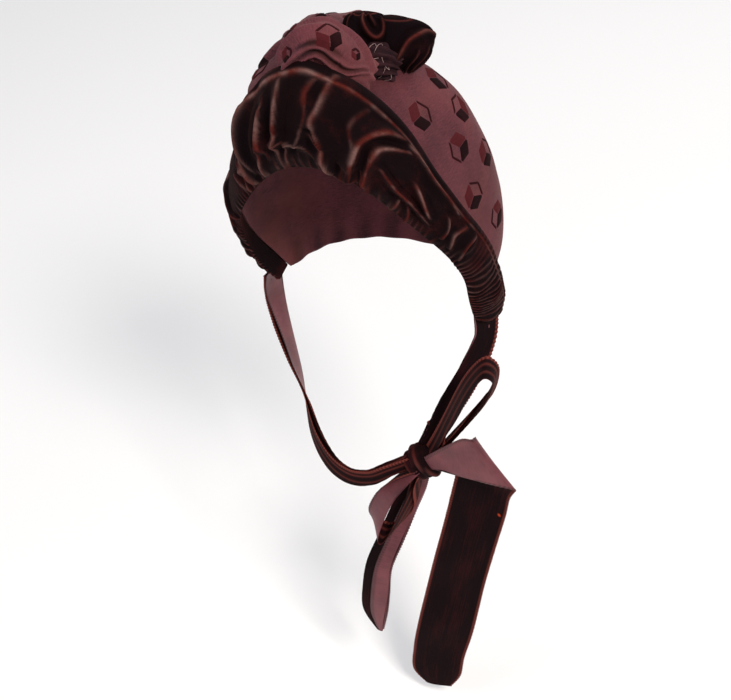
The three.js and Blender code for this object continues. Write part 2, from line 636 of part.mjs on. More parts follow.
// A ribbon along a path of rows, its width across and its wall through
function ribbonSolid(rows, centreOf, acrossOf, steps) {
  const path = [];
  for (let step = 0; step <= steps; step += 1) path.push(readTable(rows, step / steps));
  const centres = path.map(centreOf);
  const rings = path.map((row, step) => {
    const [before, after] = [Math.max(0, step - 1), Math.min(steps, step + 1)];
    const along = centres[after].clone().sub(centres[before]).normalize();
    const across = acrossOf(row, centres[step], along).normalize();
    const through = along.clone().cross(across).normalize();
    const half = row.width * ribbonWidth / 2;
    const wall = ribbonWall / 2;
    const corners = [[-half, -wall], [0, -wall], [half, -wall], [half, wall], [0, wall], [-half, wall]];
    return corners.map(([wide, thick]) => centres[step].clone()
      .addScaledVector(across, wide).addScaledVector(through, thick));
  });
  return toSolid(loftRings(rings));
}

// The knot: a wrapped, pillow-shaped lump of ribbon
function makeKnot(grow) {
  const knot = new THREE.SphereGeometry(0.5, 18, 12);
  const size = knotWidth + 2 * grow;
  knot.scale(size, knotDepthShare * size, knotHeightShare * size);
  knot.rotateY(-knotLean * degree);
  knot.translate(knotMiddle.x, knotMiddle.y, knotMiddle.z);
  return toSolid(knot);
}

// Materials
const velvetColour = 0x3a0f12;
const crepeColour = 0x6e3a3e;
const ribbonColour = 0x4a1a1e;
const velvetRoughness = 0.7;
const crepeRoughness = 0.8;

function clothMaterial(color, roughness) {
  return new THREE.MeshStandardMaterial({ color, roughness, metalness: 0 });
}

// The seat: the highest point inside the crown, where the whole hangs from
const seat = new THREE.Vector3(0, crownSetBack, crownRise - crepeWall);

const bonnet = new THREE.Group();

// Adds a piece, cut clear of the pieces that it touches. Of a piece that a cut leaves
// in several parts only the largest is kept.
function addPiece(name, solid, neighbours, color, roughness) {
  let cleared = solid;
  for (const neighbour of neighbours) cleared = cleared.subtract(neighbour);
  const parts = cleared.decompose().sort((a, b) => b.volume() - a.volume());
  const geometry = toGeometry(parts[0]);
  geometry.translate(-seat.x, -seat.y, -seat.z);
  const mesh = new THREE.Mesh(geometry, clothMaterial(color, roughness));
  mesh.name = name;
  bonnet.add(mesh);
}

const largePuffSize = { width: largePuffWidth, height: largePuffHeight };
const largePuffShape = { steps: 12, sides: 22, squareness: 2.2, ripple: 0.03, lobes: 5, twist: 2, mouth: 12 };
const smallPuffSize = { width: smallPuffWidth, height: smallPuffHeight };
const smallPuffShape = { steps: 10, sides: 18, squareness: 2.2, ripple: 0.04, lobes: 4, twist: 2, mouth: 6 };
const swagSize = { width: swagWidth, height: swagThickness };
const swagShape = { steps: 12, sides: 16, squareness: 2, ripple: 0.03, lobes: 6, twist: 2, mouth: 0 };
const lowerFoldSize = { width: lowerFoldWidth, height: lowerFoldThickness };
const lowerFoldShape = { steps: 10, sides: 12, squareness: 2, ripple: 0.02, lobes: 4, twist: 1, mouth: 0 };
const gatherSize = { width: gatherWidth, height: gatherHeight };
const gatherShape = { steps: 6, sides: 12, squareness: 2, ripple: 0.06, lobes: 7, twist: 2, mouth: 0 };

const crownClear = crownForm(fitGap, crownDrop, crownLevels, crownSides);
const brimClear = brimForm(1.5 * fitGap, brimStations);
const largePuffClear = seatedSolid(largePuffRows, largePuffSize, largePuffShape, fitGap);
const smallPuffClear = seatedSolid(smallPuffRows, smallPuffSize, smallPuffShape, fitGap);
const frontLoopClear = standingForm(frontLoopRows, fitGap);
const rearLoopClear = standingForm(rearLoopRows, fitGap);
const swagClear = seatedSolid(swagRows, swagSize, swagShape, fitGap);
const knotClear = makeKnot(fitGap);

addPiece('crown', makeCrown(), [], crepeColour, crepeRoughness);
addPiece('brim', brimForm(0, brimStations), [], velvetColour, velvetRoughness);
addPiece('large_puff', seatedShell(largePuffRows, largePuffSize, largePuffShape, crepeWall),
  [crownClear, brimClear], crepeColour, crepeRoughness);
addPiece('small_puff', seatedShell(smallPuffRows, smallPuffSize, smallPuffShape, crepeWall),
  [crownClear, brimClear, largePuffClear], crepeColour, crepeRoughness);
addPiece('velvet_loop_front', standingLoop(frontLoopRows),
  [crownClear, largePuffClear, smallPuffClear], velvetColour, velvetRoughness);
addPiece('velvet_loop_rear', standingLoop(rearLoopRows),
  [crownClear, largePuffClear, frontLoopClear], velvetColour, velvetRoughness);
addPiece('velvet_swag', seatedSolid(swagRows, swagSize, swagShape, 0),
  [crownClear, brimClear, largePuffClear], velvetColour, velvetRoughness);
addPiece('lower_fold', seatedSolid(lowerFoldRows, lowerFoldSize, lowerFoldShape, 0),
  [crownClear, brimClear, swagClear], velvetColour, velvetRoughness);
addPiece('gather_centre', seatedSolid(gatherRows, gatherSize, gatherShape, 0),
  [crownClear, largePuffClear, smallPuffClear, frontLoopClear, rearLoopClear], crepeColour, crepeRoughness);
addPiece('bow_knot', makeKnot(0), [], ribbonColour, velvetRoughness);
addPiece('tie_left', ribbonSolid(tieLeftRows, onHead, againstNeck, 16),
  [brimClear, knotClear], ribbonColour, velvetRoughness);
addPiece('tie_right', ribbonSolid(tieRightRows, onHead, againstNeck, 24),
  [brimClear, knotClear], ribbonColour, velvetRoughness);
addPiece('bow_loop_upper', ribbonSolid(upperLoopRows, fromKnot(upperLoopLength), turnedBy, 26),
  [knotClear], ribbonColour, velvetRoughness);
addPiece('bow_loop_lower', ribbonSolid(lowerLoopRows, fromKnot(lowerLoopLength), turnedBy, 22),
  [knotClear], ribbonColour, velvetRoughness);
addPiece('tail_narrow', ribbonSolid(narrowTailRows, fromKnot(narrowTailLength), turnedBy, 18),
  [knotClear], ribbonColour, velvetRoughness);
addPiece('tail_wide', ribbonSolid(wideTailRows, fromKnot(wideTailLength), turnedBy, 36),
  [knotClear], ribbonColour, velvetRoughness);

export default bonnet;
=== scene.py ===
# A bonnet of ruched velvet and figured crepe with ribbon ties, dressed over its packed
# solids. Lengths are worked out in millimetres from the crown's widest level, with the
# wearer facing -Y, and are placed in metres from the seat inside the crown.

import math

import bmesh
import bpy
import numpy as np
from mathutils import Matrix, Vector, noise


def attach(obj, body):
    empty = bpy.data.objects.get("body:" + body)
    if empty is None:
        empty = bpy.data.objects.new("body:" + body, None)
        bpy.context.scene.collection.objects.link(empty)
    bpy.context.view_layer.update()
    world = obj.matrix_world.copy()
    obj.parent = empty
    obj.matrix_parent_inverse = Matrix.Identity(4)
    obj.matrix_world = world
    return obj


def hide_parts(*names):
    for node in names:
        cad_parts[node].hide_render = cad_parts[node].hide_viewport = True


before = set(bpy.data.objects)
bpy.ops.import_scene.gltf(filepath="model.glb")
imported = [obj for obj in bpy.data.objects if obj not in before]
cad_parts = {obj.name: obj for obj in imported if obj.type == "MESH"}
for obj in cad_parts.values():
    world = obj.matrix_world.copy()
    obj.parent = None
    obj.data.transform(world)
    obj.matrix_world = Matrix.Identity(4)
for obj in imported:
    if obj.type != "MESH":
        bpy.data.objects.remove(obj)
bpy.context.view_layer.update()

# Crown
CROWN_WIDTH = 162
CROWN_RISE = 150
CROWN_DROP = 28
CROWN_BACK = 79
CROWN_FRONT = 78
CROWN_SET_BACK = 18
CROWN_OFFSET = 2
CROWN_SKEW = 7
CROWN_SQUARENESS = 2.2
CREPE_WALL = 2
OPENING_LEAN = math.radians(29.6)
RIM_DEPTH = 14

# Brim
BRIM_SWEEP = math.radians(120)
BRIM_DEPTH = 43
BRIM_STAND = 43
BRIM_PADDING = 10

# Puffs, loops and folds
LARGE_PUFF = (64, 30)
SMALL_PUFF = (56, 44)
LOOP_HEIGHT = 29
LOOP_WIDTH = 32
SWAG = (56, 10)
LOWER_FOLD = (20, 9)
GATHER = (22, 12)

# Ties and bow
RIBBON_WIDTH = 42
KNOT_WIDTH = 26
KNOT_TILT = 35
UPPER_LOOP_LENGTH = 104
LOWER_LOOP_LENGTH = 66
NARROW_TAIL_LENGTH = 172
WIDE_TAIL_LENGTH = 226

RIBBON_ACROSS = 40
PICOT_PITCH = 2.3
SELVEDGE_WIDTH = 0.0028

# The stain on the ribbon, across and along the wide tail in metres
SPOT = (0.037, 0.128)
SPOT_RADIUS = 0.0016

FIT_GAP = 0.4
PILE_CLEARANCE = 0.9
PUFF_WALL = 1.4
LEAST_HALF = 0.3
MM_PER_M = 1000

# How finely curves are sampled, and how often a search halves its interval
RING_SAMPLES = 400
SECTION_SAMPLES = 600
HALVINGS = 26

# Places and ways from the crown's widest level
SEAT = np.array([0, CROWN_SET_BACK, CROWN_RISE - CREPE_WALL], float)
MIDDLE = np.array([0, CROWN_SET_BACK, 0], float)
OPENING_UP = np.array([0, -math.sin(OPENING_LEAN), math.cos(OPENING_LEAN)])
OPENING_BACK = np.array([0, math.cos(OPENING_LEAN), math.sin(OPENING_LEAN)])


def table(columns, rows):
    values = np.array(rows, float)
    return {name: values[:, index] for index, name in enumerate(columns.split())}


def spline(values, places, axis):
    """Reads rows of points at places from 0 to 1 on a smooth curve."""
    values = np.moveaxis(values, axis, 0)
    count = values.shape[0]
    place = np.asarray(places, float) * (count - 1)
    row = np.clip(np.floor(place).astype(int), 0, count - 2)
    part = (place - row).reshape((-1,) + (1,) * (values.ndim - 1))
    a, b, c, d = (values[np.clip(row + step, 0, count - 1)] for step in (-1, 0, 1, 2))
    bend = 2 * a - 5 * b + 4 * c - d + part * (3 * (b - c) + d - a)
    return np.moveaxis(b + 0.5 * part * (c - a + part * bend), 0, axis)


def read(rows, share):
    """Reads a table on a smooth curve through its rows."""
    share = np.atleast_1d(np.asarray(share, float))
    return {name: spline(values, share, 0) for name, values in rows.items()}


def rounded(value, squareness):
    """A sine or cosine, squared off towards a superellipse."""
    return np.sign(value) * np.abs(value) ** (2 / squareness)


def share_grid(sides, steps):
    """Shares round and along a grid, from 0 to 1."""
    return np.meshgrid(np.linspace(0, 1, sides + 1), np.linspace(0, 1, steps + 1), indexing="ij")


CROWN_RINGS = table("rise drop side back front", [
    (0.00, 1.00, 0.905, 0.89, 0.93),
    (0.00, 0.00, 0.965, 0.98, 0.97),
    (0.13, 0.00, 1.000, 1.00, 1.00),
    (0.27, 0.00, 1.000, 1.00, 1.00),
    (0.43, 0.00, 0.945, 0.97, 0.98),
    (0.60, 0.00, 0.845, 0.87, 0.95),
    (0.75, 0.00, 0.715, 0.72, 0.90),
    (0.87, 0.00, 0.548, 0.53, 0.78),
    (0.95, 0.00, 0.360, 0.34, 0.56),
    (1.00, 0.00, 0.040, 0.04, 0.08),
])


def crown_ring(share, offset):
    row = read(CROWN_RINGS, share)
    return {
        "height": row["rise"] * (CROWN_RISE + offset) - row["drop"] * CROWN_DROP,
        "side": row["side"] * CROWN_WIDTH / 2 + offset,
        "back": row["back"] * CROWN_BACK + offset,
        "front": row["front"] * CROWN_FRONT + offset,
    }


def crown_shift(y):
    part = np.clip(y / (2.5 * CROWN_SET_BACK), 0, 1)
    return CROWN_OFFSET + CROWN_SKEW * part * part * (3 - 2 * part)


def inside_crown(points, offset):
    ring = crown_ring(np.linspace(0, 1, RING_SAMPLES), offset)
    height = points[:, 2]
    side, back, front = (np.interp(height, ring["height"], ring[name])
                         for name in ("side", "back", "front"))
    y = points[:, 1] - CROWN_SET_BACK
    across = np.abs((points[:, 0] - crown_shift(points[:, 1])) / side) ** CROWN_SQUARENESS
    along = np.abs(y / np.where(y > 0, back, front)) ** CROWN_SQUARENESS
    return (across + along < 1) & (height < CROWN_RISE + offset)


def crown_reach(origins, directions, offset):
    """How far the crown's surface lies from points inside it, along directions."""
    origins, directions = np.broadcast_arrays(np.asarray(origins, float), np.asarray(directions, float))
    low = np.zeros(len(directions))
    high = np.full(len(directions), float(CROWN_WIDTH + CROWN_RISE))
    for _ in range(HALVINGS):
        middle = (low + high) / 2
        inside = inside_crown(origins + directions * middle[:, None], offset)
        low = np.where(inside, middle, low)
        high = np.where(inside, high, middle)
    return (low + high) / 2


def off_crown(points, gap):
    """Moves points that sink into the crown out to a gap over it."""
    shape = points.shape
    points = points.reshape(-1, 3)
    away = points - MIDDLE
    distance = np.linalg.norm(away, axis=1)
    away = away / distance[:, None]
    reach = crown_reach(MIDDLE, away, 0) + gap
    kept = np.where(away[:, 2] > -0.2, np.maximum(distance, reach), distance)
    return (MIDDLE + away * kept[:, None]).reshape(shape)


def surface_normals(points):
    first = np.gradient(points, axis=0)
    second = np.gradient(points, axis=1)
    normals = np.cross(first, second)
    return normals / np.maximum(np.linalg.norm(normals, axis=2), 1e-9)[:, :, None]


def close_round(points):
    points[-1] = points[0]
    return points


def noise_field(points, scale, seed=0.0):
    flat = points.reshape(-1, 3) * scale
    values = [noise.noise(Vector((x + seed, y, z))) for x, y, z in flat]
    return np.array(values).reshape(points.shape[:2])


def ridge(distance, width):
    return np.exp(-(distance / width) ** 2)


FOLD_SAMPLES = 24


def near_line(x, y, places, scale):
    """How far points lie from a curved line, their share along it, and their side of it."""
    line = spline(np.array(places, float), np.linspace(0, 1, FOLD_SAMPLES + 1), 0) * scale
    nearest = np.full(x.shape, 1e9)
    share = np.zeros_like(x)
    side = np.zeros_like(x)
    for step in range(FOLD_SAMPLES):
        way = line[step + 1] - line[step]
        from_x, from_y = x - line[step, 0], y - line[step, 1]
        part = np.clip((from_x * way[0] + from_y * way[1]) / (way @ way), 0, 1)
        distance = np.hypot(from_x - part * way[0], from_y - part * way[1])
        closer = distance < nearest
        nearest = np.where(closer, distance, nearest)
        share = np.where(closer, (step + part) / FOLD_SAMPLES, share)
        side = np.where(closer, np.sign(way[0] * from_y - way[1] * from_x), side)
    return nearest, share, side


def folds_over(x, y, folds, scale):
    """Lift of fold lines, a crest with shaded hollows beside it, steeper on one side, and their tone: a
    painted highlight along the crest and painted shade in the hollows.
    """
    lift = np.zeros_like(x)
    tone = np.zeros_like(x)
    for height, width, shine, lean, places in folds:
        distance, share, side = near_line(x, y, places, scale)
        distance = distance * (1 + lean * side)
        fade = np.sin(math.pi * (0.10 + 0.80 * share)) ** 0.6
        hollow = ridge(distance - 2.1 * width, width)
        lift += height * fade * (ridge(distance, width) - 0.35 * hollow)
        bright = ridge(distance, 0.32 * width) + 0.16 * ridge(distance, 0.9 * width)
        # The tone paints a highlight along each crest and paints shade into the hollows beside it.
        tone = np.maximum(tone, 0.75 * shine * fade * bright) - 0.16 * fade * hollow
    return lift, tone


# Meshes

def finish(name, bm, materials):
    mesh = bpy.data.meshes.new(name)
    bm.to_mesh(mesh)
    bm.free()
    piece = bpy.data.objects.new(name, mesh)
    bpy.context.scene.collection.objects.link(piece)
    for material in materials:
        mesh.materials.append(material)
    for face in mesh.polygons:
        face.use_smooth = True
    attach(piece, "root")
    return piece


def add_grid(bm, points, tone=None, width=None, change_at=None):
    """Adds a grid whose vertices take the places of an array of points."""
    across, along = points.shape[0] - 1, points.shape[1] - 1
    uv_layer = bm.loops.layers.uv.verify()
    tone_layer = bm.verts.layers.float.get("tone") or bm.verts.layers.float.new("tone")
    made = bmesh.ops.create_grid(bm, x_segments=across, y_segments=along, size=0.5)["verts"]
    lengths = np.linalg.norm(np.diff(points, axis=0), axis=2).mean(axis=1)
    spans = np.linalg.norm(np.diff(points, axis=1), axis=2).mean(axis=0)
    run = np.concatenate([[0], np.cumsum(lengths)]) / MM_PER_M
    if width:
        run = run * (width / MM_PER_M / run[-1])
    rise = np.concatenate([[0], np.cumsum(spans)]) / MM_PER_M
    index = {}
    for vertex in made:
        i = round((vertex.co.x + 0.5) * across)
        j = round((vertex.co.y + 0.5) * along)
        index[vertex] = (i, j)
    for vertex, (i, j) in index.items():
        vertex.co = Vector((points[i, j] - SEAT) / MM_PER_M)
        vertex[tone_layer] = float(tone[i, j]) if tone is not None else 0.0
    faces = {face for vertex in made for face in vertex.link_faces}
    for face in faces:
        if change_at is not None:
            start = min(index[vertex][1] for vertex in face.verts)
            face.material_index = int(start >= change_at * along)
        for loop in face.loops:
            i, j = index[loop.vert]
            loop[uv_layer].uv = (run[i], rise[j])
    return made


def face_outwards(bm):
    """Turns the faces of a form so that they look away from its middle."""
    middle = sum((vertex.co for vertex in bm.verts), Vector()) / len(bm.verts)
    facing = sum(face.normal.dot(face.calc_center_median() - middle) * face.calc_area()
                 for face in bm.faces)
    if facing < 0:
        bmesh.ops.reverse_faces(bm, faces=bm.faces)


def cloth(name, points, materials, tone=None, wrap=False, wall=0.0, cap=False, cut_at=None,
          width=None, change_at=None):
    bm = bmesh.new()
    add_grid(bm, points, tone, width, change_at)
    if wrap:
        bmesh.ops.remove_doubles(bm, verts=bm.verts, dist=2e-6)
    if cut_at is not None:
        whole = [*bm.verts, *bm.edges, *bm.faces]
        place = Vector((OPENING_BACK * cut_at - SEAT) / MM_PER_M)
        bmesh.ops.bisect_plane(bm, geom=whole, plane_co=place, plane_no=Vector(OPENING_BACK),
                               clear_inner=True)
    if cap:
        open_edges = [edge for edge in bm.edges if edge.is_boundary]
        bmesh.ops.holes_fill(bm, edges=open_edges, sides=0)
    if wrap:
        bmesh.ops.recalc_face_normals(bm, faces=bm.faces)
        face_outwards(bm)
    piece = finish(name, bm, materials)
    if wall:
        solidify = piece.modifiers.new("wall", "SOLIDIFY")
        solidify.thickness = wall / MM_PER_M
        solidify.offset = -1
        solidify.material_offset = min(1, len(materials) - 1)
        solidify.material_offset_rim = 0
    return piece


def at_surface(points, normals, u, v):
    """Points and normals of a grid at places given as shares of its two ways."""
    count_u, count_v = points.shape[0] - 1, points.shape[1] - 1
    place_u = np.clip(np.asarray(u, float), 0, 1) * count_u
    place_v = np.clip(np.asarray(v, float), 0, 1) * count_v
    i = np.clip(place_u.astype(int), 0, count_u - 1)
    j = np.clip(place_v.astype(int), 0, count_v - 1)
    s, t = (place_u - i)[..., None], (place_v - j)[..., None]

    def blend(field):
        low = field[i, j] * (1 - s) + field[i + 1, j] * s
        high = field[i, j + 1] * (1 - s) + field[i + 1, j + 1] * s
        return low * (1 - t) + high * t
    return blend(points), blend(normals)


CUBE_STEPS = 6
CUBE_PILE = 0.55
OUTLINE_WIDTH = 1.7
FIGURE_RIGHT = np.array([0.91, 0.41, 0])
FIGURE_LOW = np.array([0.5, -1.0])


def add_cube_figure(bm, points, normals, sign, place):
    """One woven cube: two velvet faces, and a velvet outline round a third on the given side."""
    u, v, size, side = place
    step = 0.004
    here, normal = at_surface(points, normals, u, v)
    normal = normal * sign / np.linalg.norm(normal)
    right_way = FIGURE_RIGHT - normal * (FIGURE_RIGHT @ normal)
    right_way /= np.linalg.norm(right_way)
    ways = np.stack([right_way, np.cross(normal, right_way)])
    slopes = np.stack([at_surface(points, normals, u + step, v)[0] - here,
                       at_surface(points, normals, u, v + step)[0] - here], axis=1) / step
    back_to_shares = np.linalg.inv(ways @ slopes)
    turns = np.radians(side + 180 + 60 * np.arange(6))
    corners = np.stack([np.cos(turns), np.sin(turns)], axis=1) * size / 2

    def lay(first, second, start, pile, shade):
        a, b = share_grid(CUBE_STEPS, CUBE_STEPS)
        flat = start + a[..., None] * first + b[..., None] * second
        found = np.zeros_like(flat)
        for _ in range(6):
            base, lean = at_surface(points, normals, u + found[..., 0], v + found[..., 1])
            found = found + 0.8 * (flat - (base - here) @ ways.T) @ back_to_shares.T
        edge = (1 - (2 * a - 1) ** 12) * (1 - (2 * b - 1) ** 12)
        lift = pile * edge - 0.04
        add_grid(bm, base + sign * lean * lift[..., None], np.full(a.shape, shade))

    # Of the two velvet faces, the lower is painted dark as shade and the other paler as a lit face.
    first_lower = corners[1] @ FIGURE_LOW > corners[5] @ FIGURE_LOW
    for k, lower in ((0, first_lower), (2, not first_lower)):
        lay(corners[2 * k % 6], corners[(2 * k + 2) % 6], np.zeros(2), CUBE_PILE, 0.0 if lower else 0.55)
    first, second = corners[2], corners[4]
    for start, along, inwards in ((first, second, -first), (second, first, -second)):
        width = inwards / np.linalg.norm(inwards) * OUTLINE_WIDTH
        lay(along, width, start, CUBE_PILE * 0.8, 0.12)


def cube_figures(name, points, sign, places, material):
    bm = bmesh.new()
    twice_round = np.concatenate([points[:-1], points])
    normals = surface_normals(twice_round)
    for u, v, size, side in places:
        add_cube_figure(bm, twice_round, normals, sign, ((u + (u < 0.5)) / 2, v, size, side))
    bmesh.ops.recalc_face_normals(bm, faces=bm.faces)
    return finish(name, bm, [material])


def tube(bm, path, radius, sides=6):
    """A thin round thread along points."""
    path = np.asarray(path, float)
    steps = 4 * (len(path) - 1)
    path = spline(path, np.linspace(0, 1, steps + 1), 0)
    ways = np.gradient(path, axis=0)
    ways /= np.linalg.norm(ways, axis=1)[:, None]
    rings = np.zeros((sides + 1, steps + 1, 3))
    for step, way in enumerate(ways):
        side = np.cross(way, [0.3, 0.5, 0.81])
        side /= np.linalg.norm(side)
        other = np.cross(way, side)
        for k in range(sides + 1):
            turn = 2 * math.pi * k / sides
            rings[k, step] = path[step] + radius * (math.cos(turn) * side + math.sin(turn) * other)
    add_grid(bm, rings)


# Materials

class Value:
    """A shader socket that takes part in Python arithmetic."""

    def __init__(self, tree, socket):
        self.tree = tree
        self.socket = socket

    def math(self, operation, other=None):
        node = self.tree.nodes.new("ShaderNodeMath")
        node.operation = operation
        for index, value in enumerate((self, other)):
            if isinstance(value, Value):
                self.tree.links.new(value.socket, node.inputs[index])
            elif value is not None:
                node.inputs[index].default_value = value
        return Value(self.tree, node.outputs[0])

    def __add__(self, other):
        return self.math("ADD", other)

    def __mul__(self, other):
        return self.math("MULTIPLY", other)

    def __sub__(self, other):
        return self.math("SUBTRACT", other)

    def __neg__(self):
        return self.math("MULTIPLY", -1.0)

    def __pow__(self, other):
        return self.math("POWER", other)

    def __rsub__(self, other):
        return (-self) + other

    __radd__ = __add__
    __rmul__ = __mul__

    def clamped(self):
        return self.math("MAXIMUM", 0.0).math("MINIMUM", 1.0)


class Cloth:
    """A material whose nodes come from one method."""

    def __init__(self, name):
        self.material = bpy.data.materials.new(name)
        self.material.use_nodes = True
        self.tree = self.material.node_tree
        self.shader = self.tree.nodes["Principled BSDF"]

    def node(self, kind, settings=None, output=0, **sockets):
        made = self.tree.nodes.new(kind)
        for key, value in (settings or {}).items():
            if key == "stops":
                ramp = made.color_ramp
                while len(ramp.elements) < len(value):
                    ramp.elements.new(0.5)
                for element, (position, colour) in zip(ramp.elements, value):
                    element.position = position
                    element.color = (*colour, 1)
            else:
                setattr(made, key, value)
        for key, value in sockets.items():
            self.plug(made.inputs[key.replace("_", " ")] if key.replace("_", " ") in made.inputs
                      else made.inputs[int(key[1:])], value)
        return Value(self.tree, made.outputs[output])

    def plug(self, socket, value):
        if isinstance(value, Value):
            self.tree.links.new(value.socket, socket)
        else:
            socket.default_value = value

    def set(self, **sockets):
        for key, value in sockets.items():
            self.plug(self.shader.inputs[key.replace("_", " ")], value)

    def coordinates(self):
        """The cloth's own coordinates, the object's, and the tone that its mesh carries."""
        tone = self.node("ShaderNodeAttribute", {"attribute_name": "tone"}, output=2)
        return self.node("ShaderNodeTexCoord", output=2), self.node("ShaderNodeTexCoord", output=3), tone

    def noise(self, vector, scale, detail=3.0, rough=0.55):
        return self.node("ShaderNodeTexNoise", Vector=vector, Scale=scale, Detail=detail, Roughness=rough)

    def stretched(self, vector, scale):
        return self.node("ShaderNodeMapping", Vector=vector, Scale=scale)

    def mix(self, amount, first, second):
        return self.node("ShaderNodeMix", {"data_type": "RGBA"}, output=2, i0=amount, i6=first, i7=second)

    def bump(self, height, strength, distance):
        return self.node("ShaderNodeBump", Height=height, Strength=strength, Distance=distance)


def linear(hexcode):
    values = [int(hexcode[k:k + 2], 16) / 255 for k in (1, 3, 5)]
    return tuple(((v + 0.055) / 1.055) ** 2.4 if v > 0.04045 else v / 12.92 for v in values) + (1.0,)


def velvet(name, deep, lit, edge_and_highlight_colour, ridge_highlight_colour, sheen=0.16):
    """Cut pile: dark in the face with painted lit patches, and painted highlights, redder or greyer in
    patches, where its tone marks fold edges and crests.
    """
    cloth_of = Cloth(name)
    uv, place, tone = cloth_of.coordinates()
    broad = cloth_of.noise(place, 30.0, 4.0, 0.65)
    patches = cloth_of.noise(place, 70.0, 2.0, 0.5)
    rows = cloth_of.noise(cloth_of.stretched(uv, (300.0, 2200.0, 1.0)), 1.0, 2.0, 0.7)
    speck = cloth_of.noise(place, 1400.0, 2.0, 0.7)
    # The lit colour is painted light, laid in patches by noise and where the tone rises.
    lit_share = ((broad - 0.53) * 3.0 + (speck - 0.5) * 0.9 + tone * 0.6).clamped()
    ground = cloth_of.mix(lit_share, linear(deep), linear(lit))
    # The two painted highlight colours, redder or greyer, chosen in patches.
    painted_highlight = cloth_of.mix(((patches - 0.42) * 5.0).clamped(), linear(edge_and_highlight_colour), linear(ridge_highlight_colour))
    # Where the tone is high the pile takes a painted highlight.
    painted_highlight_share = (tone * (0.35 + rows * 1.3)).clamped()
    cloth_of.set(Base_Color=cloth_of.mix(painted_highlight_share, ground, painted_highlight), Roughness=0.85, Specular_IOR_Level=0.06,
                 Sheen_Weight=sheen, Sheen_Roughness=0.35, Sheen_Tint=linear("#8a3a2c"))
    height = speck * 0.6 + rows * 0.4
    cloth_of.set(Normal=cloth_of.bump(height, 0.6, 0.0006))
    return cloth_of.material


def crepe(name, dark, pale, warm, hollow, sheen=0.2):
    """Dull ribbed crepe with a fine grain across the cloth, paler where its tone paints a highlight and
    darker where it paints shade.
    """
    cloth_of = Cloth(name)
    uv, place, tone = cloth_of.coordinates()
    ribs = cloth_of.noise(cloth_of.stretched(uv, (220.0, 2000.0, 1.0)), 1.0, 2.0, 0.65)
    broad = cloth_of.noise(place, 34.0, 4.0, 0.6)
    blush = cloth_of.noise(place, 22.0, 2.0, 0.5)
    speck = cloth_of.noise(place, 1700.0, 1.0, 0.6)
    # The tone adds a painted highlight where it is positive and painted shade where it is negative.
    share = ((broad - 0.5) * 1.5 + (ribs - 0.5) * 1.5 + (speck - 0.5) * 1.0 + 0.5 + tone).clamped()
    ground = cloth_of.mix(share, linear(dark), linear(pale))
    # Where the tone sinks deep, the hollow colour is laid as near-black painted shade.
    ground = cloth_of.mix(((-tone - 0.45) * 2.2).clamped(), ground, linear(hollow))
    cloth_of.set(Base_Color=cloth_of.mix(((blush - 0.5) * 3.0).clamped() * 0.6, ground, linear(warm)),
                 Roughness=0.8, Specular_IOR_Level=0.15, Sheen_Weight=sheen, Sheen_Roughness=0.5,
                 Sheen_Tint=linear("#b98a84"))
    cloth_of.set(Normal=cloth_of.bump(ribs * 0.8 + speck * 0.3, 0.6, 0.0005))
    return cloth_of.material


def selvedge(cloth_of, uv):
    """The ribbon's two woven edges, and the stitches along them."""
    across, along = (cloth_of.node("ShaderNodeSeparateXYZ", output=way, i0=uv) for way in (0, 1))
    middle = RIBBON_WIDTH / (2 * MM_PER_M)
    edge = (((across - middle).math("ABSOLUTE") - (middle - SELVEDGE_WIDTH)) * 900.0).clamped()
    stitches = (along * (2 * MM_PER_M * math.pi / PICOT_PITCH)).math("SINE") * 0.5 + 0.5
    return across, along, edge, stitches


def ribbon_pile(name, deep, lit, edge_and_highlight_colour, spot_colour, stain=0.0):
    """Velvet ribbon: streaks along it, a redder stitched selvedge, one small stain, redder where its tone
    marks the edges, and painted highlights on its pleat crests.
    """
    cloth_of = Cloth(name)
    uv, place, tone = cloth_of.coordinates()
    streaks = cloth_of.noise(cloth_of.stretched(uv, (1500.0, 14.0, 1.0)), 1.0, 3.0, 0.6)
    broad = cloth_of.noise(cloth_of.stretched(uv, (60.0, 16.0, 1.0)), 1.0, 3.0, 0.6)
    speck = cloth_of.noise(place, 1500.0, 2.0, 0.7)
    across, along, edge, stitches = selvedge(cloth_of, uv)
    # The tone lightens the ground and draws in the edge colour, a painted highlight on pleat crests.
    lit_share = ((broad - 0.48) * 2.0 + (streaks - 0.5) * 1.6 + (speck - 0.5) * 0.8 + tone * 0.4).clamped()
    ground = cloth_of.mix(lit_share, linear(deep), linear(lit))
    border = (edge * (0.25 + stitches * 0.6) + tone * 0.5).clamped()
    bordered = cloth_of.mix(border, ground, linear(edge_and_highlight_colour))
    apart = (across - SPOT[0]) ** 2.0 + (along - SPOT[1]) ** 2.0
    spot = (1.0 - apart * (1 / SPOT_RADIUS ** 2)).clamped()
    cloth_of.set(Base_Color=cloth_of.mix(spot * stain, bordered, linear(spot_colour)), Roughness=0.8,
                 Specular_IOR_Level=0.06, Sheen_Weight=0.14, Sheen_Roughness=0.35,
                 Sheen_Tint=linear("#8a3a2c"))
    height = speck * 0.5 + streaks * 0.5 + stitches * edge * 0.8
    cloth_of.set(Normal=cloth_of.bump(height, 0.6, 0.0006))
    return cloth_of.material


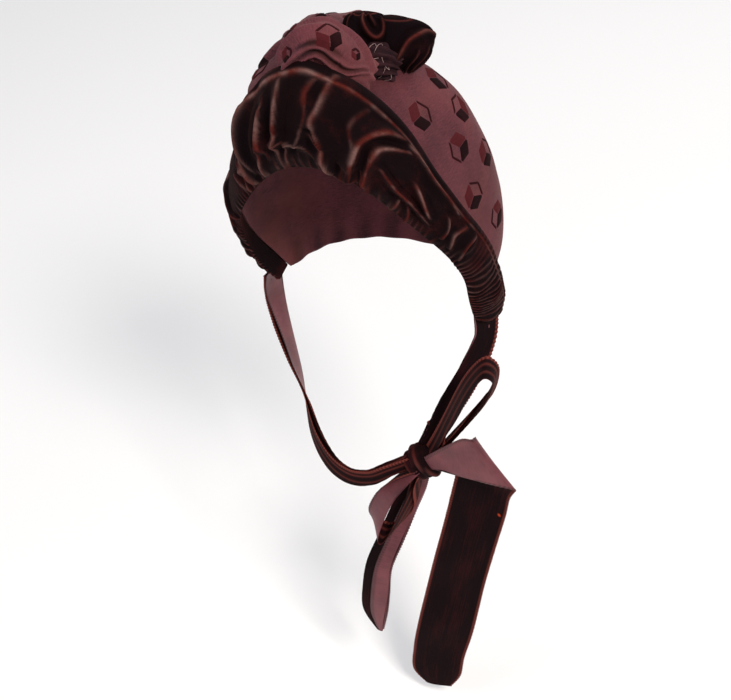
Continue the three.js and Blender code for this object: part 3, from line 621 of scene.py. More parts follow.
def satin(name, dark, pale, border):
    """The ribbon's back: smooth, faintly ribbed across, with a soft gloss and a stitched edge."""
    cloth_of = Cloth(name)
    uv, place = cloth_of.coordinates()[:2]
    ribs = cloth_of.noise(cloth_of.stretched(uv, (120.0, 2600.0, 1.0)), 1.0, 1.0, 0.5)
    broad = cloth_of.noise(place, 40.0, 3.0, 0.6)
    edge, stitches = selvedge(cloth_of, uv)[2:]
    share = ((broad - 0.5) * 1.8 + (ribs - 0.5) * 1.0 + 0.5).clamped()
    ground = cloth_of.mix(share, linear(dark), linear(pale))
    bordered = cloth_of.mix(edge * (0.9 - stitches * 0.7), ground, linear(border))
    cloth_of.set(Base_Color=bordered, Roughness=0.5, Specular_IOR_Level=0.3, Sheen_Weight=0.15,
                 Sheen_Tint=linear("#c08a86"))
    cloth_of.set(Normal=cloth_of.bump(ribs + stitches * edge, 0.35, 0.0004))
    return cloth_of.material


def plain(name, colour, roughness):
    cloth_of = Cloth(name)
    place = cloth_of.coordinates()[1]
    grain = cloth_of.noise(place, 300.0, 3.0, 0.6)
    cloth_of.set(Base_Color=cloth_of.mix(grain * 0.12, linear(colour), (1, 1, 1, 1)), Roughness=roughness)
    return cloth_of.material


brim_velvet = velvet("brim velvet", "#0e0406", "#360e0e", "#64261e", "#86625c")
loop_velvet = velvet("loop velvet", "#0b0305", "#280a0c", "#5a241f", "#6a3c36")
figure_velvet = velvet("figure velvet", "#170609", "#321012", "#5a2024", "#5a2024", 0.12)
ribbon_velvet = ribbon_pile("ribbon velvet", "#100507", "#3a1214", "#7a3a32", "#b8401c")
marked_velvet = ribbon_pile("marked ribbon velvet", "#100507", "#361012", "#74362e", "#b8401c", 0.8)
crown_crepe = crepe("crown crepe", "#3a1c22", "#643238", "#6c3830", "#12060a")
gather_crepe = crepe("gather crepe", "#12060a", "#2e141a", "#2c1014", "#060204", 0.04)
knot_velvet = velvet("knot velvet", "#120507", "#3a1214", "#6a2c26", "#74403a")
ribbon_satin = satin("ribbon satin", "#4a2026", "#743a40", "#2a0c0e")
thread_cotton = plain("thread cotton", "#8c6a66", 0.8)
floor_paper = plain("floor paper", "#f1f0ee", 0.9)

# Camera, at the left view of the photograph
CAMERA_AZIMUTH = math.radians(24.4)
CAMERA_ELEVATION = math.radians(38.6)
CAMERA_ROLL = math.radians(-3.8)
CAMERA_DISTANCE = 957.7
CAMERA_SIDE = 3.7
CAMERA_UP = -49.2
PHOTO_WIDTH = 731
PHOTO_FOCUS = 1469.6
SENSOR_WIDTH = 36

back = Vector((math.sin(CAMERA_AZIMUTH) * math.cos(CAMERA_ELEVATION),
               -math.cos(CAMERA_AZIMUTH) * math.cos(CAMERA_ELEVATION), math.sin(CAMERA_ELEVATION)))
right = Vector((math.cos(CAMERA_AZIMUTH), math.sin(CAMERA_AZIMUTH), 0))
up = back.cross(right)
eye = right * CAMERA_SIDE + up * CAMERA_UP + back * CAMERA_DISTANCE - Vector(SEAT)
rolled_right = right * math.cos(CAMERA_ROLL) + up * math.sin(CAMERA_ROLL)
rolled_up = up * math.cos(CAMERA_ROLL) - right * math.sin(CAMERA_ROLL)
camera_data = bpy.data.cameras.new("camera")
camera_data.sensor_width = SENSOR_WIDTH
camera_data.lens = PHOTO_FOCUS * SENSOR_WIDTH / PHOTO_WIDTH
camera = bpy.data.objects.new("camera", camera_data)
turned = Matrix((rolled_right, rolled_up, back)).transposed().to_4x4()
camera.matrix_world = Matrix.Translation(eye / MM_PER_M) @ turned
bpy.context.scene.collection.objects.link(camera)
bpy.context.scene.camera = camera
bpy.context.scene.view_settings.view_transform = "Standard"

# Crown, with its woven cubes

CROWN_ACROSS = 200
CROWN_UPWARDS = 110
CUBE_LEVELS = (0.10, 0.26, 0.42, 0.58, 0.74)
CUBES_ROUND = 14
CUBE_SIZE = 18
# Cubes of the crown's left side, in shares round and up, with the side of their open face
LEFT_CUBES = ((0.715, 0.745, 45), (0.745, 0.600, 220), (0.740, 0.464, 55), (0.795, 0.680, 170),
              (0.672, 0.578, 200), (0.825, 0.790, 40), (0.790, 0.530, 60), (0.775, 0.350, 200))
LEFT_CUBE_SIZE = CUBE_SIZE * 1.08
LEFT_CUBES_FROM = 0.62
LEFT_CUBES_TO = 0.86


def crown_points(offset):
    u = np.linspace(0, 1, CROWN_ACROSS + 1)
    ring = crown_ring(np.linspace(0, 1, CROWN_UPWARDS + 1), offset)
    turn = 2 * math.pi * u
    sine, cosine = np.sin(turn)[:, None], np.cos(turn)[:, None]
    reach = np.where(cosine > 0, ring["back"], ring["front"])
    y = CROWN_SET_BACK + reach * rounded(cosine, CROWN_SQUARENESS)
    x = crown_shift(y) - ring["side"] * rounded(sine, CROWN_SQUARENESS)
    z = np.broadcast_to(ring["height"], x.shape)
    return np.stack([x, y, z], axis=2)


crown_surface = crown_points(0)
soft = noise_field(crown_surface, 0.02, 3.0) * 2.4 + noise_field(crown_surface, 0.05, 9.0) * 1.2
hem_pucker = np.sin(np.linspace(0, 46 * math.pi, CROWN_ACROSS + 1))[:, None]
near_hem = ridge(crown_surface[..., 2] + CROWN_DROP, 14)
crown_normals = surface_normals(crown_surface)
crown_sign = 1 if (crown_normals[50, 50] @ (crown_surface[50, 50] - MIDDLE)) > 0 else -1
lift = soft * 0.6 - 0.7 + hem_pucker * near_hem * 0.8
crown_surface = close_round(crown_surface + crown_sign * crown_normals * lift[..., None])
# The hem's puckers carry a painted highlight on their crests and painted shade between them, through the
# tone.
crown = cloth("crown_cloth", crown_surface, [crown_crepe], tone=hem_pucker * near_hem * 0.4,
              wrap=True, wall=CREPE_WALL * 0.7, cut_at=RIM_DEPTH)
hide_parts("crown")

crown_cubes = [(u, height, LEFT_CUBE_SIZE, side) for u, height, side in LEFT_CUBES]
for level, height in enumerate(CUBE_LEVELS):
    for place in range(CUBES_ROUND):
        u = (place + 0.5 * (level % 2)) / CUBES_ROUND
        spot = at_surface(crown_surface, crown_normals, u, height)[0]
        apart = LEFT_CUBES_FROM < u < LEFT_CUBES_TO and height > 0.2
        if spot @ OPENING_BACK > RIM_DEPTH + CUBE_SIZE and not apart:
            crown_cubes.append((u, height, CUBE_SIZE, 45 + (place + level) % 3 * 120))
crown_figures = cube_figures("crown_cubes", crown_surface, crown_sign, crown_cubes, figure_velvet)

# Brim

BRIM_SECTIONS = table("angle edge top stand bulge roll right", [
    (0.00, 0.26, 1.00, 0.86, 0.20, 1.00, 1.00),
    (0.08, 0.24, 0.95, 0.68, 0.20, 1.00, 0.95),
    (0.17, 0.18, 0.86, 0.39, 0.18, 1.00, 0.85),
    (0.25, 0.13, 0.70, 0.23, 0.13, 0.95, 0.60),
    (0.33, 0.10, 0.57, 0.22, 0.10, 0.90, 0.40),
    (0.42, 0.09, 0.50, 0.20, 0.08, 0.90, 0.30),
    (0.54, 0.08, 0.47, 0.20, 0.08, 0.85, 0.35),
    (0.67, 0.06, 0.42, 0.20, 0.08, 0.80, 0.50),
    (0.80, 0.03, 0.41, 0.20, 0.08, 0.75, 0.70),
    (0.92, 0.02, 0.42, 0.19, 0.06, 0.65, 1.00),
    (1.00, 0.04, 0.38, 0.16, 0.05, 0.50, 1.00),
])

FACE_STEPS = 9
BRIM_SKELETON = 60
BRIM_ALONG = 600
BRIM_ROUND = 126


def brim_section_at(turn):
    shares = np.linspace(0, 1, SECTION_SAMPLES)
    found = np.interp(np.abs(turn), read(BRIM_SECTIONS, shares)["angle"], shares)
    return read(BRIM_SECTIONS, found)


def brim_rings(turns):
    """The brim's sections without folds, as an array of turn by place round the section."""
    angle = turns * BRIM_SWEEP
    outwards = np.stack([np.sin(angle), 0 * angle, 0 * angle], axis=1) + np.cos(angle)[:, None] * OPENING_UP
    row = brim_section_at(turns)

    def at(radius, depth):
        return outwards * radius[:, None] + OPENING_BACK * depth[:, None]

    def reach(depth, offset):
        return crown_reach(OPENING_BACK * depth[:, None], outwards, offset)
    kept = np.where(turns < 0, row["right"], 1.0)
    padding = BRIM_PADDING * row["roll"] * (1 + kept) / 2
    stand = kept * row["stand"] * BRIM_STAND + (1 - kept) * padding
    edge_depth = row["edge"] * BRIM_DEPTH
    edge = np.stack([reach(edge_depth, -CREPE_WALL), edge_depth], axis=1)
    top_depth = row["top"] * BRIM_DEPTH
    top = np.stack([reach(top_depth, 0) + stand, top_depth], axis=1)
    rise = (top - edge) / np.linalg.norm(top - edge, axis=1)[:, None]
    face = np.stack([rise[:, 1], -rise[:, 0]], axis=1)
    points = []
    for step in range(FACE_STEPS + 1):
        share = step / FACE_STEPS
        swell = kept * row["bulge"] * BRIM_STAND * math.sin(math.pi * share) ** 0.7
        lift = swell + CREPE_WALL * min(1, share * 4)
        flat = edge + (top - edge) * share + face * lift[:, None]
        points.append(at(flat[:, 0], flat[:, 1]))
    lip = points[-1]

    def beyond(start, across, over):
        flat = -face * across[:, None] + rise * over[:, None]
        return start + outwards * flat[:, 0, None] + OPENING_BACK * flat[:, 1, None]
    for roll in (0.25, 0.5, 0.75):
        turn_over = roll * math.pi
        points.append(beyond(lip, padding * (1 - math.cos(turn_over)) / 2, padding * math.sin(turn_over) / 2))
    last = beyond(lip, padding, padding * 0)
    back_depth = top_depth + padding * 0.6
    foot = at(reach(back_depth, PILE_CLEARANCE), back_depth)
    for share in (0, 0.35, 0.7, 1):
        points.append(last + (foot - last) * share)
    step_depth = np.full(len(turns), RIM_DEPTH - 2 * FIT_GAP)
    middle_depth = (back_depth + step_depth) / 2
    points.append(at(reach(middle_depth, PILE_CLEARANCE), middle_depth))
    points.append(at(reach(step_depth, PILE_CLEARANCE), step_depth))
    points.append(at(reach(step_depth, -CREPE_WALL), step_depth))
    inner_depth = (step_depth + edge_depth) / 2
    points.append(at(reach(inner_depth, -CREPE_WALL), inner_depth))
    points.append(points[0])
    return np.stack(points, axis=1)


# Broad folds, each with the turn where it leaves the edge and where it reaches the top
BRIM_FOLDS = table("edge top height width", [
    (-0.93, -0.86, 2.4, 4.5), (-0.80, -0.72, 2.8, 5.0), (-0.62, -0.74, 3.0, 5.0),
    (-0.50, -0.44, 2.8, 5.0), (-0.36, -0.46, 3.2, 5.0), (-0.26, -0.27, 2.8, 5.0),
    (-0.13, -0.17, 3.2, 5.0), (0.06, 0.07, 3.4, 5.0), (0.16, 0.24, 3.4, 5.0),
    (0.27, 0.22, 3.0, 4.5), (0.40, 0.34, 3.2, 5.0), (0.52, 0.46, 3.0, 4.5),
    (0.66, 0.60, 2.6, 4.5), (0.76, 0.80, 3.0, 4.5), (0.92, 0.90, 2.4, 4.0),
])

# Pinched folds of the brim: height, width, shine, lean, and the line's turns and rises
BRIM_TUCKS = (
    (2.0, 1.8, 0.60, 0.0, ((-0.04, 1.35), (-0.12, 1.20), (-0.17, 0.90), (-0.19, 0.50), (-0.17, 0.15))),
    (2.6, 1.5, 0.75, 0.2, ((-0.08, 0.87), (-0.09, 0.58), (-0.10, 0.40), (-0.09, 0.22))),
    (2.4, 2.2, 0.60, 0.0, ((-0.10, 0.36), (-0.05, 0.37), (-0.01, 0.33), (0.02, 0.24))),
    (3.0, 1.6, 0.50, 0.3, ((0.03, 1.05), (0.01, 0.85), (0.01, 0.62), (-0.01, 0.35))),
    (3.2, 1.6, 0.60, -0.3, ((0.05, 1.15), (0.03, 0.78), (0.02, 0.58), (0.04, 0.40))),
    (3.2, 1.8, 0.80, 0.2, ((0.02, 0.46), (0.04, 0.36), (0.04, 0.20), (0.05, 0.08), (0.07, 0.02))),
    (2.8, 1.8, 0.70, 0.0, ((0.07, 0.02), (0.09, 0.07), (0.12, 0.17))),
    (3.8, 2.0, 0.80, 0.3, ((0.18, 0.98), (0.14, 0.87), (0.11, 0.66), (0.10, 0.40), (0.10, 0.12))),
    (3.2, 1.5, 0.70, -0.2, ((0.20, 0.93), (0.17, 0.82), (0.14, 0.68), (0.13, 0.45), (0.13, 0.20),
                            (0.14, 0.02))),
    (3.2, 2.6, 0.85, 0.0, ((0.20, 1.00), (0.24, 1.00), (0.28, 0.98), (0.33, 0.98), (0.38, 0.97))),
    (3.0, 1.9, 0.60, 0.3, ((0.16, 0.48), (0.20, 0.41), (0.25, 0.40), (0.32, 0.34))),
    (2.8, 2.6, 0.80, 0.0, ((0.24, 0.68), (0.27, 0.58), (0.31, 0.44))),
    (2.4, 1.4, 0.60, 0.0, ((0.22, 0.30), (0.215, 0.18), (0.21, 0.04))),
    (2.2, 1.4, 0.50, 0.0, ((0.247, 0.30), (0.26, 0.15), (0.26, 0.02))),
    (2.6, 1.8, 0.60, 0.0, ((0.36, 0.75), (0.38, 0.55), (0.38, 0.30))),
    (2.4, 1.8, 0.60, 0.0, ((0.43, 0.92), (0.41, 0.60), (0.43, 0.25))),
    (2.2, 1.6, 0.50, 0.0, ((0.48, 0.95), (0.47, 0.60), (0.49, 0.20))),
    (1.8, 1.6, 0.55, 0.0, ((0.12, 0.30), (0.125, 0.18), (0.12, 0.06))),
    (3.4, 1.3, 0.70, 0.4, ((-0.04, 0.97), (-0.045, 0.72), (-0.055, 0.40), (-0.06, 0.02))),
    (2.2, 1.2, 0.50, 0.0, ((-0.035, 0.36), (-0.045, 0.18), (-0.05, 0.05))),
    (1.4, 1.6, 0.25, 0.0, ((0.11, 0.97), (0.085, 0.72), (0.10, 0.45), (0.085, 0.05))),
    (2.6, 1.6, 0.70, 0.2, ((-0.085, 0.75), (-0.10, 0.50), (-0.12, 0.28), (-0.14, 0.03))),
    (3.4, 3.0, 0.85, 0.2, ((-0.14, 1.04), (-0.175, 0.86), (-0.197, 0.50), (-0.195, 0.05))),
    (2.8, 1.5, 0.60, 0.2, ((-0.245, 1.05), (-0.23, 0.75), (-0.21, 0.38), (-0.195, 0.10))),
    (2.2, 1.6, 0.50, 0.0, ((-0.215, 0.33), (-0.235, 0.20), (-0.245, 0.03))),
    (2.2, 1.6, 0.50, 0.0, ((-0.29, 0.58), (-0.27, 0.35), (-0.257, 0.10))),
    (3.2, 2.8, 0.85, 0.2, ((-0.40, 1.08), (-0.46, 0.92), (-0.50, 0.52), (-0.47, 0.08))),
    (2.4, 2.0, 0.60, 0.0, ((-0.53, 1.00), (-0.56, 0.65), (-0.57, 0.28))),
    (2.2, 1.8, 0.55, 0.0, ((-0.61, 0.95), (-0.63, 0.60), (-0.62, 0.22))),
    (2.2, 1.8, 0.50, 0.0, ((-0.70, 0.98), (-0.70, 0.60), (-0.72, 0.15))),
    (2.0, 1.6, 0.50, 0.0, ((-0.80, 0.95), (-0.78, 0.55), (-0.79, 0.15))),
    (2.0, 1.6, 0.50, 0.0, ((-0.88, 0.95), (-0.87, 0.55), (-0.88, 0.15))),
)

MM_PER_TURN = BRIM_SWEEP * CROWN_RISE / 2
FACE_HEIGHT = 48
TUCK_HEIGHT = 1.25
BRIM_INTERVALS = 21


def brim_relief(turn, place):
    """Lift of the velvet by its folds, tucks and gathers, and its tone: painted highlights on its ridges,
    gathers and lip, and painted shade beside the tucks.
    """
    rise = np.clip(place * BRIM_INTERVALS / FACE_STEPS, 0, 1.6)
    on_face = np.clip((1.35 - rise) / 0.35, 0, 1) * np.clip(rise / 0.05, 0, 1)
    section = brim_section_at(turn.ravel())
    kept = np.where(turn < 0, section["right"].reshape(turn.shape), 1.0)
    lift = np.zeros_like(turn)
    for row in range(len(BRIM_FOLDS["edge"])):
        edge, top = BRIM_FOLDS["edge"][row], BRIM_FOLDS["top"][row]
        away = (turn - (edge + (top - edge) * np.clip(rise, 0, 1.1))) * MM_PER_TURN
        lift += BRIM_FOLDS["height"][row] * ridge(away, BRIM_FOLDS["width"][row]) * 0.12
    creases, tone = folds_over(turn * MM_PER_TURN, rise * FACE_HEIGHT, BRIM_TUCKS,
                               np.array([MM_PER_TURN, FACE_HEIGHT]))
    lift = (lift + TUCK_HEIGHT * creases) * (0.55 + 0.45 * kept)
    gathers = 0.5 + 0.5 * np.sin(turn * 235 + 3.0 * np.sin(turn * 23) + 1.2 * np.sin(rise * 5 + turn * 40))
    near_edge = ridge(rise, 0.14)
    tail = np.clip((np.abs(turn) - 0.42) / 0.35, 0, 1)
    uneven = 0.45 + 0.55 * np.abs(np.sin(rise * 5 + turn * 9))
    lift += (gathers - 0.3) * (0.9 * near_edge + 1.5 * tail * uneven)
    # Gather crests near the edge and on the tails take a painted highlight, the gaps between them a little
    # painted shade.
    tone += 0.35 * (gathers ** 4 - 0.2) * (near_edge + tail)
    # A painted highlight line runs along the lip, wider and brighter around two places along it.
    lip_share = ridge((turn + 0.05) / 0.17, 1) + ridge((turn + 0.35) / 0.08, 1)
    lip_line = ridge((rise - 1.04) * FACE_HEIGHT, 0.8 + 1.0 * np.clip(lip_share, 0, 1))
    tone = np.maximum(tone, (0.30 + 0.45 * np.clip(lip_share, 0, 1)) * lip_line)
    return lift * on_face, np.clip(tone * np.clip(on_face * 1.5, 0, 1), -0.4, 1)


skeleton = brim_rings(np.linspace(-1, 1, BRIM_SKELETON + 1))
brim_turns = np.linspace(0, 1, BRIM_ALONG + 1)
brim_places = np.linspace(0, 1, BRIM_ROUND + 1)
brim_surface = spline(spline(skeleton, brim_turns, 0), brim_places, 1)
turn_grid, place_grid = np.meshgrid(2 * brim_turns - 1, brim_places, indexing="ij")
relief, brim_tone = brim_relief(turn_grid, place_grid)
brim_normals = surface_normals(brim_surface)
on_face = BRIM_ROUND * FACE_STEPS // (2 * BRIM_INTERVALS)
probe = brim_surface[BRIM_ALONG // 2, on_face] - brim_surface[BRIM_ALONG // 2].mean(axis=0)
brim_sign = 1 if brim_normals[BRIM_ALONG // 2, on_face] @ probe > 0 else -1
relief += noise_field(brim_surface, 0.06, 5.0) * np.clip(np.abs(relief) * 2, 0, 1.0)
brim_surface = brim_surface + brim_sign * brim_normals * relief[..., None]
brim_surface[:, -1] = brim_surface[:, 0]
brim = cloth("brim_velvet", brim_surface, [brim_velvet], tone=brim_tone, wrap=True, cap=True)
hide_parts("brim")


# Forms that sit on the crown

def seated_points(rows, size, sides, steps, squareness=2.2):
    """The seated form of the solids, as an array of side by step."""
    share = np.linspace(0, 1, steps + 1)
    row = read(rows, share)
    ways = np.stack([row["side"] * CROWN_WIDTH / 2, row["back"] * CROWN_BACK, row["up"] * CROWN_RISE], axis=1)
    ways /= np.linalg.norm(ways, axis=1)[:, None]
    distance = crown_reach(MIDDLE, ways, 0) + row["lift"] * size[1]
    centres = MIDDLE + ways * distance[:, None]
    along = np.gradient(centres, axis=0)
    along /= np.linalg.norm(along, axis=1)[:, None]
    across = np.cross(along, ways)
    across /= np.linalg.norm(across, axis=1)[:, None]
    roll = np.radians(row.get("roll", np.zeros(steps + 1)))
    level = np.cross(along, across)
    across = across * np.cos(roll)[:, None] + level * np.sin(roll)[:, None]
    upwards = np.cross(across, along)
    turn = np.linspace(0, 2 * math.pi, sides + 1)
    wide = np.maximum(LEAST_HALF, row["width"] * size[0] / 2)
    high = np.maximum(LEAST_HALF, row["height"] * size[1])
    return (centres[None] + across[None] * (wide * rounded(np.cos(turn), squareness)[:, None])[..., None]
            + upwards[None] * (high * rounded(np.sin(turn), squareness)[:, None])[..., None])


def outward_sign(points):
    normals = surface_normals(points)
    centre = points.mean(axis=(0, 1))
    facing = ((points - centre) * normals).sum(axis=2)
    return 1 if facing.mean() > 0 else -1


def wrinkled(points, lift):
    """Lifts a form's surface along its own normals."""
    normals = surface_normals(points)
    return points + outward_sign(points) * normals * lift[..., None]


LARGE_PUFF_ROWS = table("side back up lift width height roll", [
    (-0.28, -0.57, 0.90, 0.08, 0.84, 0.62, -16),
    (-0.26, -0.34, 0.90, 0.05, 0.96, 0.70, -20),
    (-0.24, -0.02, 0.90, 0.04, 0.98, 0.75, -20),
    (-0.23, 0.30, 0.87, 0.02, 0.98, 0.74, -18),
    (-0.21, 0.56, 0.79, 0.00, 0.86, 0.62, -14),
    (-0.18, 0.78, 0.66, -0.05, 0.44, 0.32, -6),
])
SMALL_PUFF_ROWS = table("side back up lift width height roll", [
    (-0.14, -0.58, 0.92, 0.50, 0.26, 0.20, 0),
    (-0.10, -0.54, 0.94, 0.60, 0.46, 0.38, 0),
    (-0.02, -0.48, 0.96, 0.64, 0.56, 0.50, 0),
    (0.08, -0.45, 0.95, 0.52, 0.56, 0.44, 0),
    (0.17, -0.44, 0.93, 0.38, 0.54, 0.36, 0),
    (0.26, -0.42, 0.91, 0.26, 0.46, 0.24, 0),
])
SWAG_ROWS = table("side back up lift width height", [
    (-0.62, -0.61, 0.90, 0.00, 0.28, 0.40),
    (-0.75, -0.38, 0.86, 0.00, 0.54, 0.85),
    (-0.81, -0.10, 0.81, 0.00, 0.76, 1.00),
    (-0.80, 0.18, 0.75, 0.00, 0.80, 1.00),
    (-0.69, 0.43, 0.69, 0.00, 0.64, 0.85),
    (-0.55, 0.58, 0.67, 0.00, 0.30, 0.40),
])
LOWER_FOLD_ROWS = table("side back up lift width height", [
    (-0.69, -0.61, 0.83, 0.10, 0.30, 0.45),
    (-0.83, -0.43, 0.75, 0.15, 0.80, 0.90),
    (-0.90, -0.30, 0.67, 0.15, 1.00, 1.00),
    (-0.94, -0.20, 0.59, 0.10, 0.70, 0.80),
    (-0.96, -0.14, 0.52, 0.00, 0.25, 0.30),
])
GATHER_ROWS = table("side back up lift width height", [
    (0.10, -0.12, 0.95, 0.10, 0.60, 0.60),
    (0.22, -0.08, 0.94, 0.25, 1.00, 1.00),
    (0.34, -0.04, 0.90, 0.10, 0.60, 0.60),
])


def puff(node, points, tone, cubes):
    """Dresses a puff in figured crepe."""
    points = close_round(off_crown(points, PILE_CLEARANCE))
    piece = cloth(node + "_cloth", points, [crown_crepe], tone=tone, wrap=True, wall=PUFF_WALL)
    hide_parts(node)
    figures = cube_figures(node + "_cubes", points, outward_sign(points), cubes, figure_velvet)


# Large puff: folds that radiate from the gathers over a full, soft form
points = seated_points(LARGE_PUFF_ROWS, LARGE_PUFF, 150, 130)
u, v = share_grid(150, 130)
PUFF_SCALE = np.array([140.0, 125.0])
LARGE_PUFF_FOLDS = (
    (3.6, 2.0, 0.25, 0.5, ((0.15, 0.375), (0.20, 0.385), (0.24, 0.385), (0.285, 0.385))),
    (3.0, 2.2, 0.25, -0.4, ((0.265, 0.345), (0.275, 0.28), (0.30, 0.225), (0.32, 0.20))),
    (3.6, 2.2, 0.25, 0.4, ((0.135, 0.40), (0.18, 0.42), (0.215, 0.43), (0.25, 0.47), (0.29, 0.52),
                           (0.33, 0.53))),
    (2.4, 2.4, 0.20, 0.0, ((0.28, 0.44), (0.31, 0.425), (0.35, 0.44))),
    (2.6, 2.4, 0.20, 0.3, ((0.10, 0.50), (0.14, 0.58), (0.20, 0.66), (0.27, 0.70))),
    (2.2, 2.0, 0.20, 0.0, ((0.12, 0.20), (0.15, 0.26), (0.18, 0.29))),
    (2.4, 2.4, 0.20, 0.0, ((0.36, 0.60), (0.40, 0.72), (0.42, 0.85))),
    (2.2, 2.2, 0.20, 0.0, ((0.22, 0.72), (0.26, 0.82), (0.30, 0.93))),
    (2.2, 2.2, 0.20, 0.0, ((0.08, 0.72), (0.11, 0.82), (0.15, 0.93))),
    (2.0, 1.8, 0.20, 0.0, ((0.40, 0.20), (0.43, 0.32), (0.44, 0.44))),
)
lift, fold_tone = folds_over(u * PUFF_SCALE[0], v * PUFF_SCALE[1], LARGE_PUFF_FOLDS, PUFF_SCALE)
lift += noise_field(points, 0.045, 2.0) * 1.8 + noise_field(points, 0.12, 7.0) * 0.6
end_pleats = np.sin(u * 2 * math.pi * 17) * np.clip((v - 0.72) / 0.28, 0, 1)
lift += end_pleats * 1.1
lift *= np.clip(v / 0.06, 0, 1)
settled = np.clip((v - 0.34) / 0.2, 0, 1) * np.clip((points[..., 0] + 30) / 20, 0, 1)
points = wrinkled(points, lift) - np.array([0, 0, 3.5]) * settled[..., None]
# Cubes of the puffs: shares round and along, size, and the side of their open face
LARGE_PUFF_CUBES = (
    (0.213, 0.315, 18, 120), (0.307, 0.346, 16, 30), (0.327, 0.146, 17, -70), (0.360, 0.508, 16, 140),
    (0.445, 0.480, 15, -40), (0.247, 0.562, 16, 60), (0.113, 0.492, 15, 90), (0.187, 0.430, 12, 0),
    (0.087, 0.238, 12, 30), (0.13, 0.75, 15, 60), (0.28, 0.80, 14, 140),
)
# The tone is the folds' painted highlights and shade, plus painted light on raised parts and painted shade in
# sunken ones.
puff("large_puff", points, np.clip(fold_tone + lift * 0.06, -0.5, 0.4), LARGE_PUFF_CUBES)

# Small puff, with a pressed crease over its raw folded end
points = seated_points(SMALL_PUFF_ROWS, SMALL_PUFF, 120, 90)
u, v = share_grid(120, 90)
SMALL_PUFF_FOLDS = (
    (3.4, 1.1, 0.60, 0.3, ((0.115, 0.18), (0.095, 0.28), (0.075, 0.42), (0.075, 0.54), (0.10, 0.70),
                           (0.20, 0.90))),
    (3.0, 1.1, 0.50, 0.0, ((0.15, 0.20), (0.13, 0.32), (0.115, 0.42), (0.115, 0.54), (0.14, 0.68),
                           (0.23, 0.88))),
    (2.4, 2.0, 0.20, 0.0, ((0.30, 0.15), (0.26, 0.30), (0.24, 0.42))),
    (2.6, 1.8, 0.20, 0.4, ((0.33, 0.40), (0.34, 0.58), (0.31, 0.76), (0.27, 0.90))),
    (2.2, 1.8, 0.20, 0.0, ((0.20, 0.10), (0.16, 0.20), (0.15, 0.30))),
    (2.4, 2.0, 0.20, 0.0, ((0.40, 0.20), (0.40, 0.50), (0.38, 0.80))),
)
SMALL_PUFF_SCALE = np.array([105.0, 62.0])
# Grooves between the hem's folds, with painted shade in them: depth, width and line
SMALL_PUFF_GROOVES = (
    (2.4, 1.2, ((0.132, 0.19), (0.112, 0.30), (0.095, 0.42), (0.095, 0.54), (0.12, 0.69), (0.215, 0.89))),
    (1.8, 1.6, ((0.175, 0.26), (0.150, 0.36), (0.140, 0.46), (0.150, 0.58))),
)
round_puff, along_puff = u * SMALL_PUFF_SCALE[0], v * SMALL_PUFF_SCALE[1]
lift, fold_tone = folds_over(round_puff, along_puff, SMALL_PUFF_FOLDS, SMALL_PUFF_SCALE)
lift += noise_field(points, 0.07, 4.0) * 2.0
lift += np.sin(u * 2 * math.pi * 11) * np.clip(np.abs(v - 0.5) - 0.36, 0, 0.14) / 0.14 * 1.2
for depth, width, line in SMALL_PUFF_GROOVES:
    distance, share = near_line(round_puff, along_puff, line, SMALL_PUFF_SCALE)[:2]
    groove = ridge(distance, width) * np.sin(math.pi * (0.1 + 0.8 * share))
    lift -= depth * groove
    # Each groove is painted dark as shade.
    fold_tone -= 1.2 * groove
SMALL_PUFF_CUBES = (
    (0.195, 0.450, 17, 95), (0.235, 0.690, 8, 90), (0.205, 0.200, 10, 30), (0.400, 0.300, 12, 120),
    (0.400, 0.720, 14, 20),
)
puff("small_puff", wrinkled(points, lift), np.clip(fold_tone + 0.1, -1.0, 0.45), SMALL_PUFF_CUBES)


# Swag and lower fold, in velvet
def velvet_form(name, node, rows, size, sides, steps, seed, folds):
    points = seated_points(rows, size, sides, steps, 2.0)
    u, v = share_grid(sides, steps)
    lift = noise_field(points, 0.05, seed) * 1.6
    tone = np.zeros_like(u)
    for middle, slant, height, width in folds:
        distance = u - middle - slant * (v - 0.5)
        lift += height * ridge(distance, width) * np.sin(math.pi * np.clip(v, 0.05, 0.95))
        # Each fold's crest takes a painted highlight.
        tone += 0.6 * ridge(distance, width * 0.7) * np.sin(math.pi * v)
    points = close_round(off_crown(wrinkled(points, lift), PILE_CLEARANCE))
    piece = cloth(name, points, [brim_velvet], tone=np.clip(tone, 0, 1), wrap=True, cap=True)
    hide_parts(node)


velvet_form("swag_velvet", "velvet_swag", SWAG_ROWS, SWAG, 96, 90, 8.0, (
    (0.10, 0.20, 1.6, 0.02), (0.18, 0.28, 1.8, 0.02), (0.28, 0.30, 1.6, 0.018), (0.38, 0.22, 1.4, 0.02)))
velvet_form("lower_fold_velvet", "lower_fold", LOWER_FOLD_ROWS, LOWER_FOLD, 64, 50, 6.0, (
    (0.22, 0.10, 1.0, 0.03), (0.34, -0.10, 0.8, 0.03)))

# Gathers in the middle, with raw edges and loose threads
points = seated_points(GATHER_ROWS, GATHER, 90, 50, 2.0)
u, v = share_grid(90, 50)
lift = np.sin(u * 2 * math.pi * 13 + 2 * np.sin(v * 5)) * 1.5 + noise_field(points, 0.2, 1.0) * 2.0
gather_surface = close_round(off_crown(wrinkled(points, lift), PILE_CLEARANCE))
# Raised gathers are painted lighter and sunken ones darker, as painted light and shade.
gather = cloth("gather_cloth", gather_surface, [gather_crepe], tone=lift * 0.15, wrap=True,
               cap=True)
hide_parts("gather_centre")

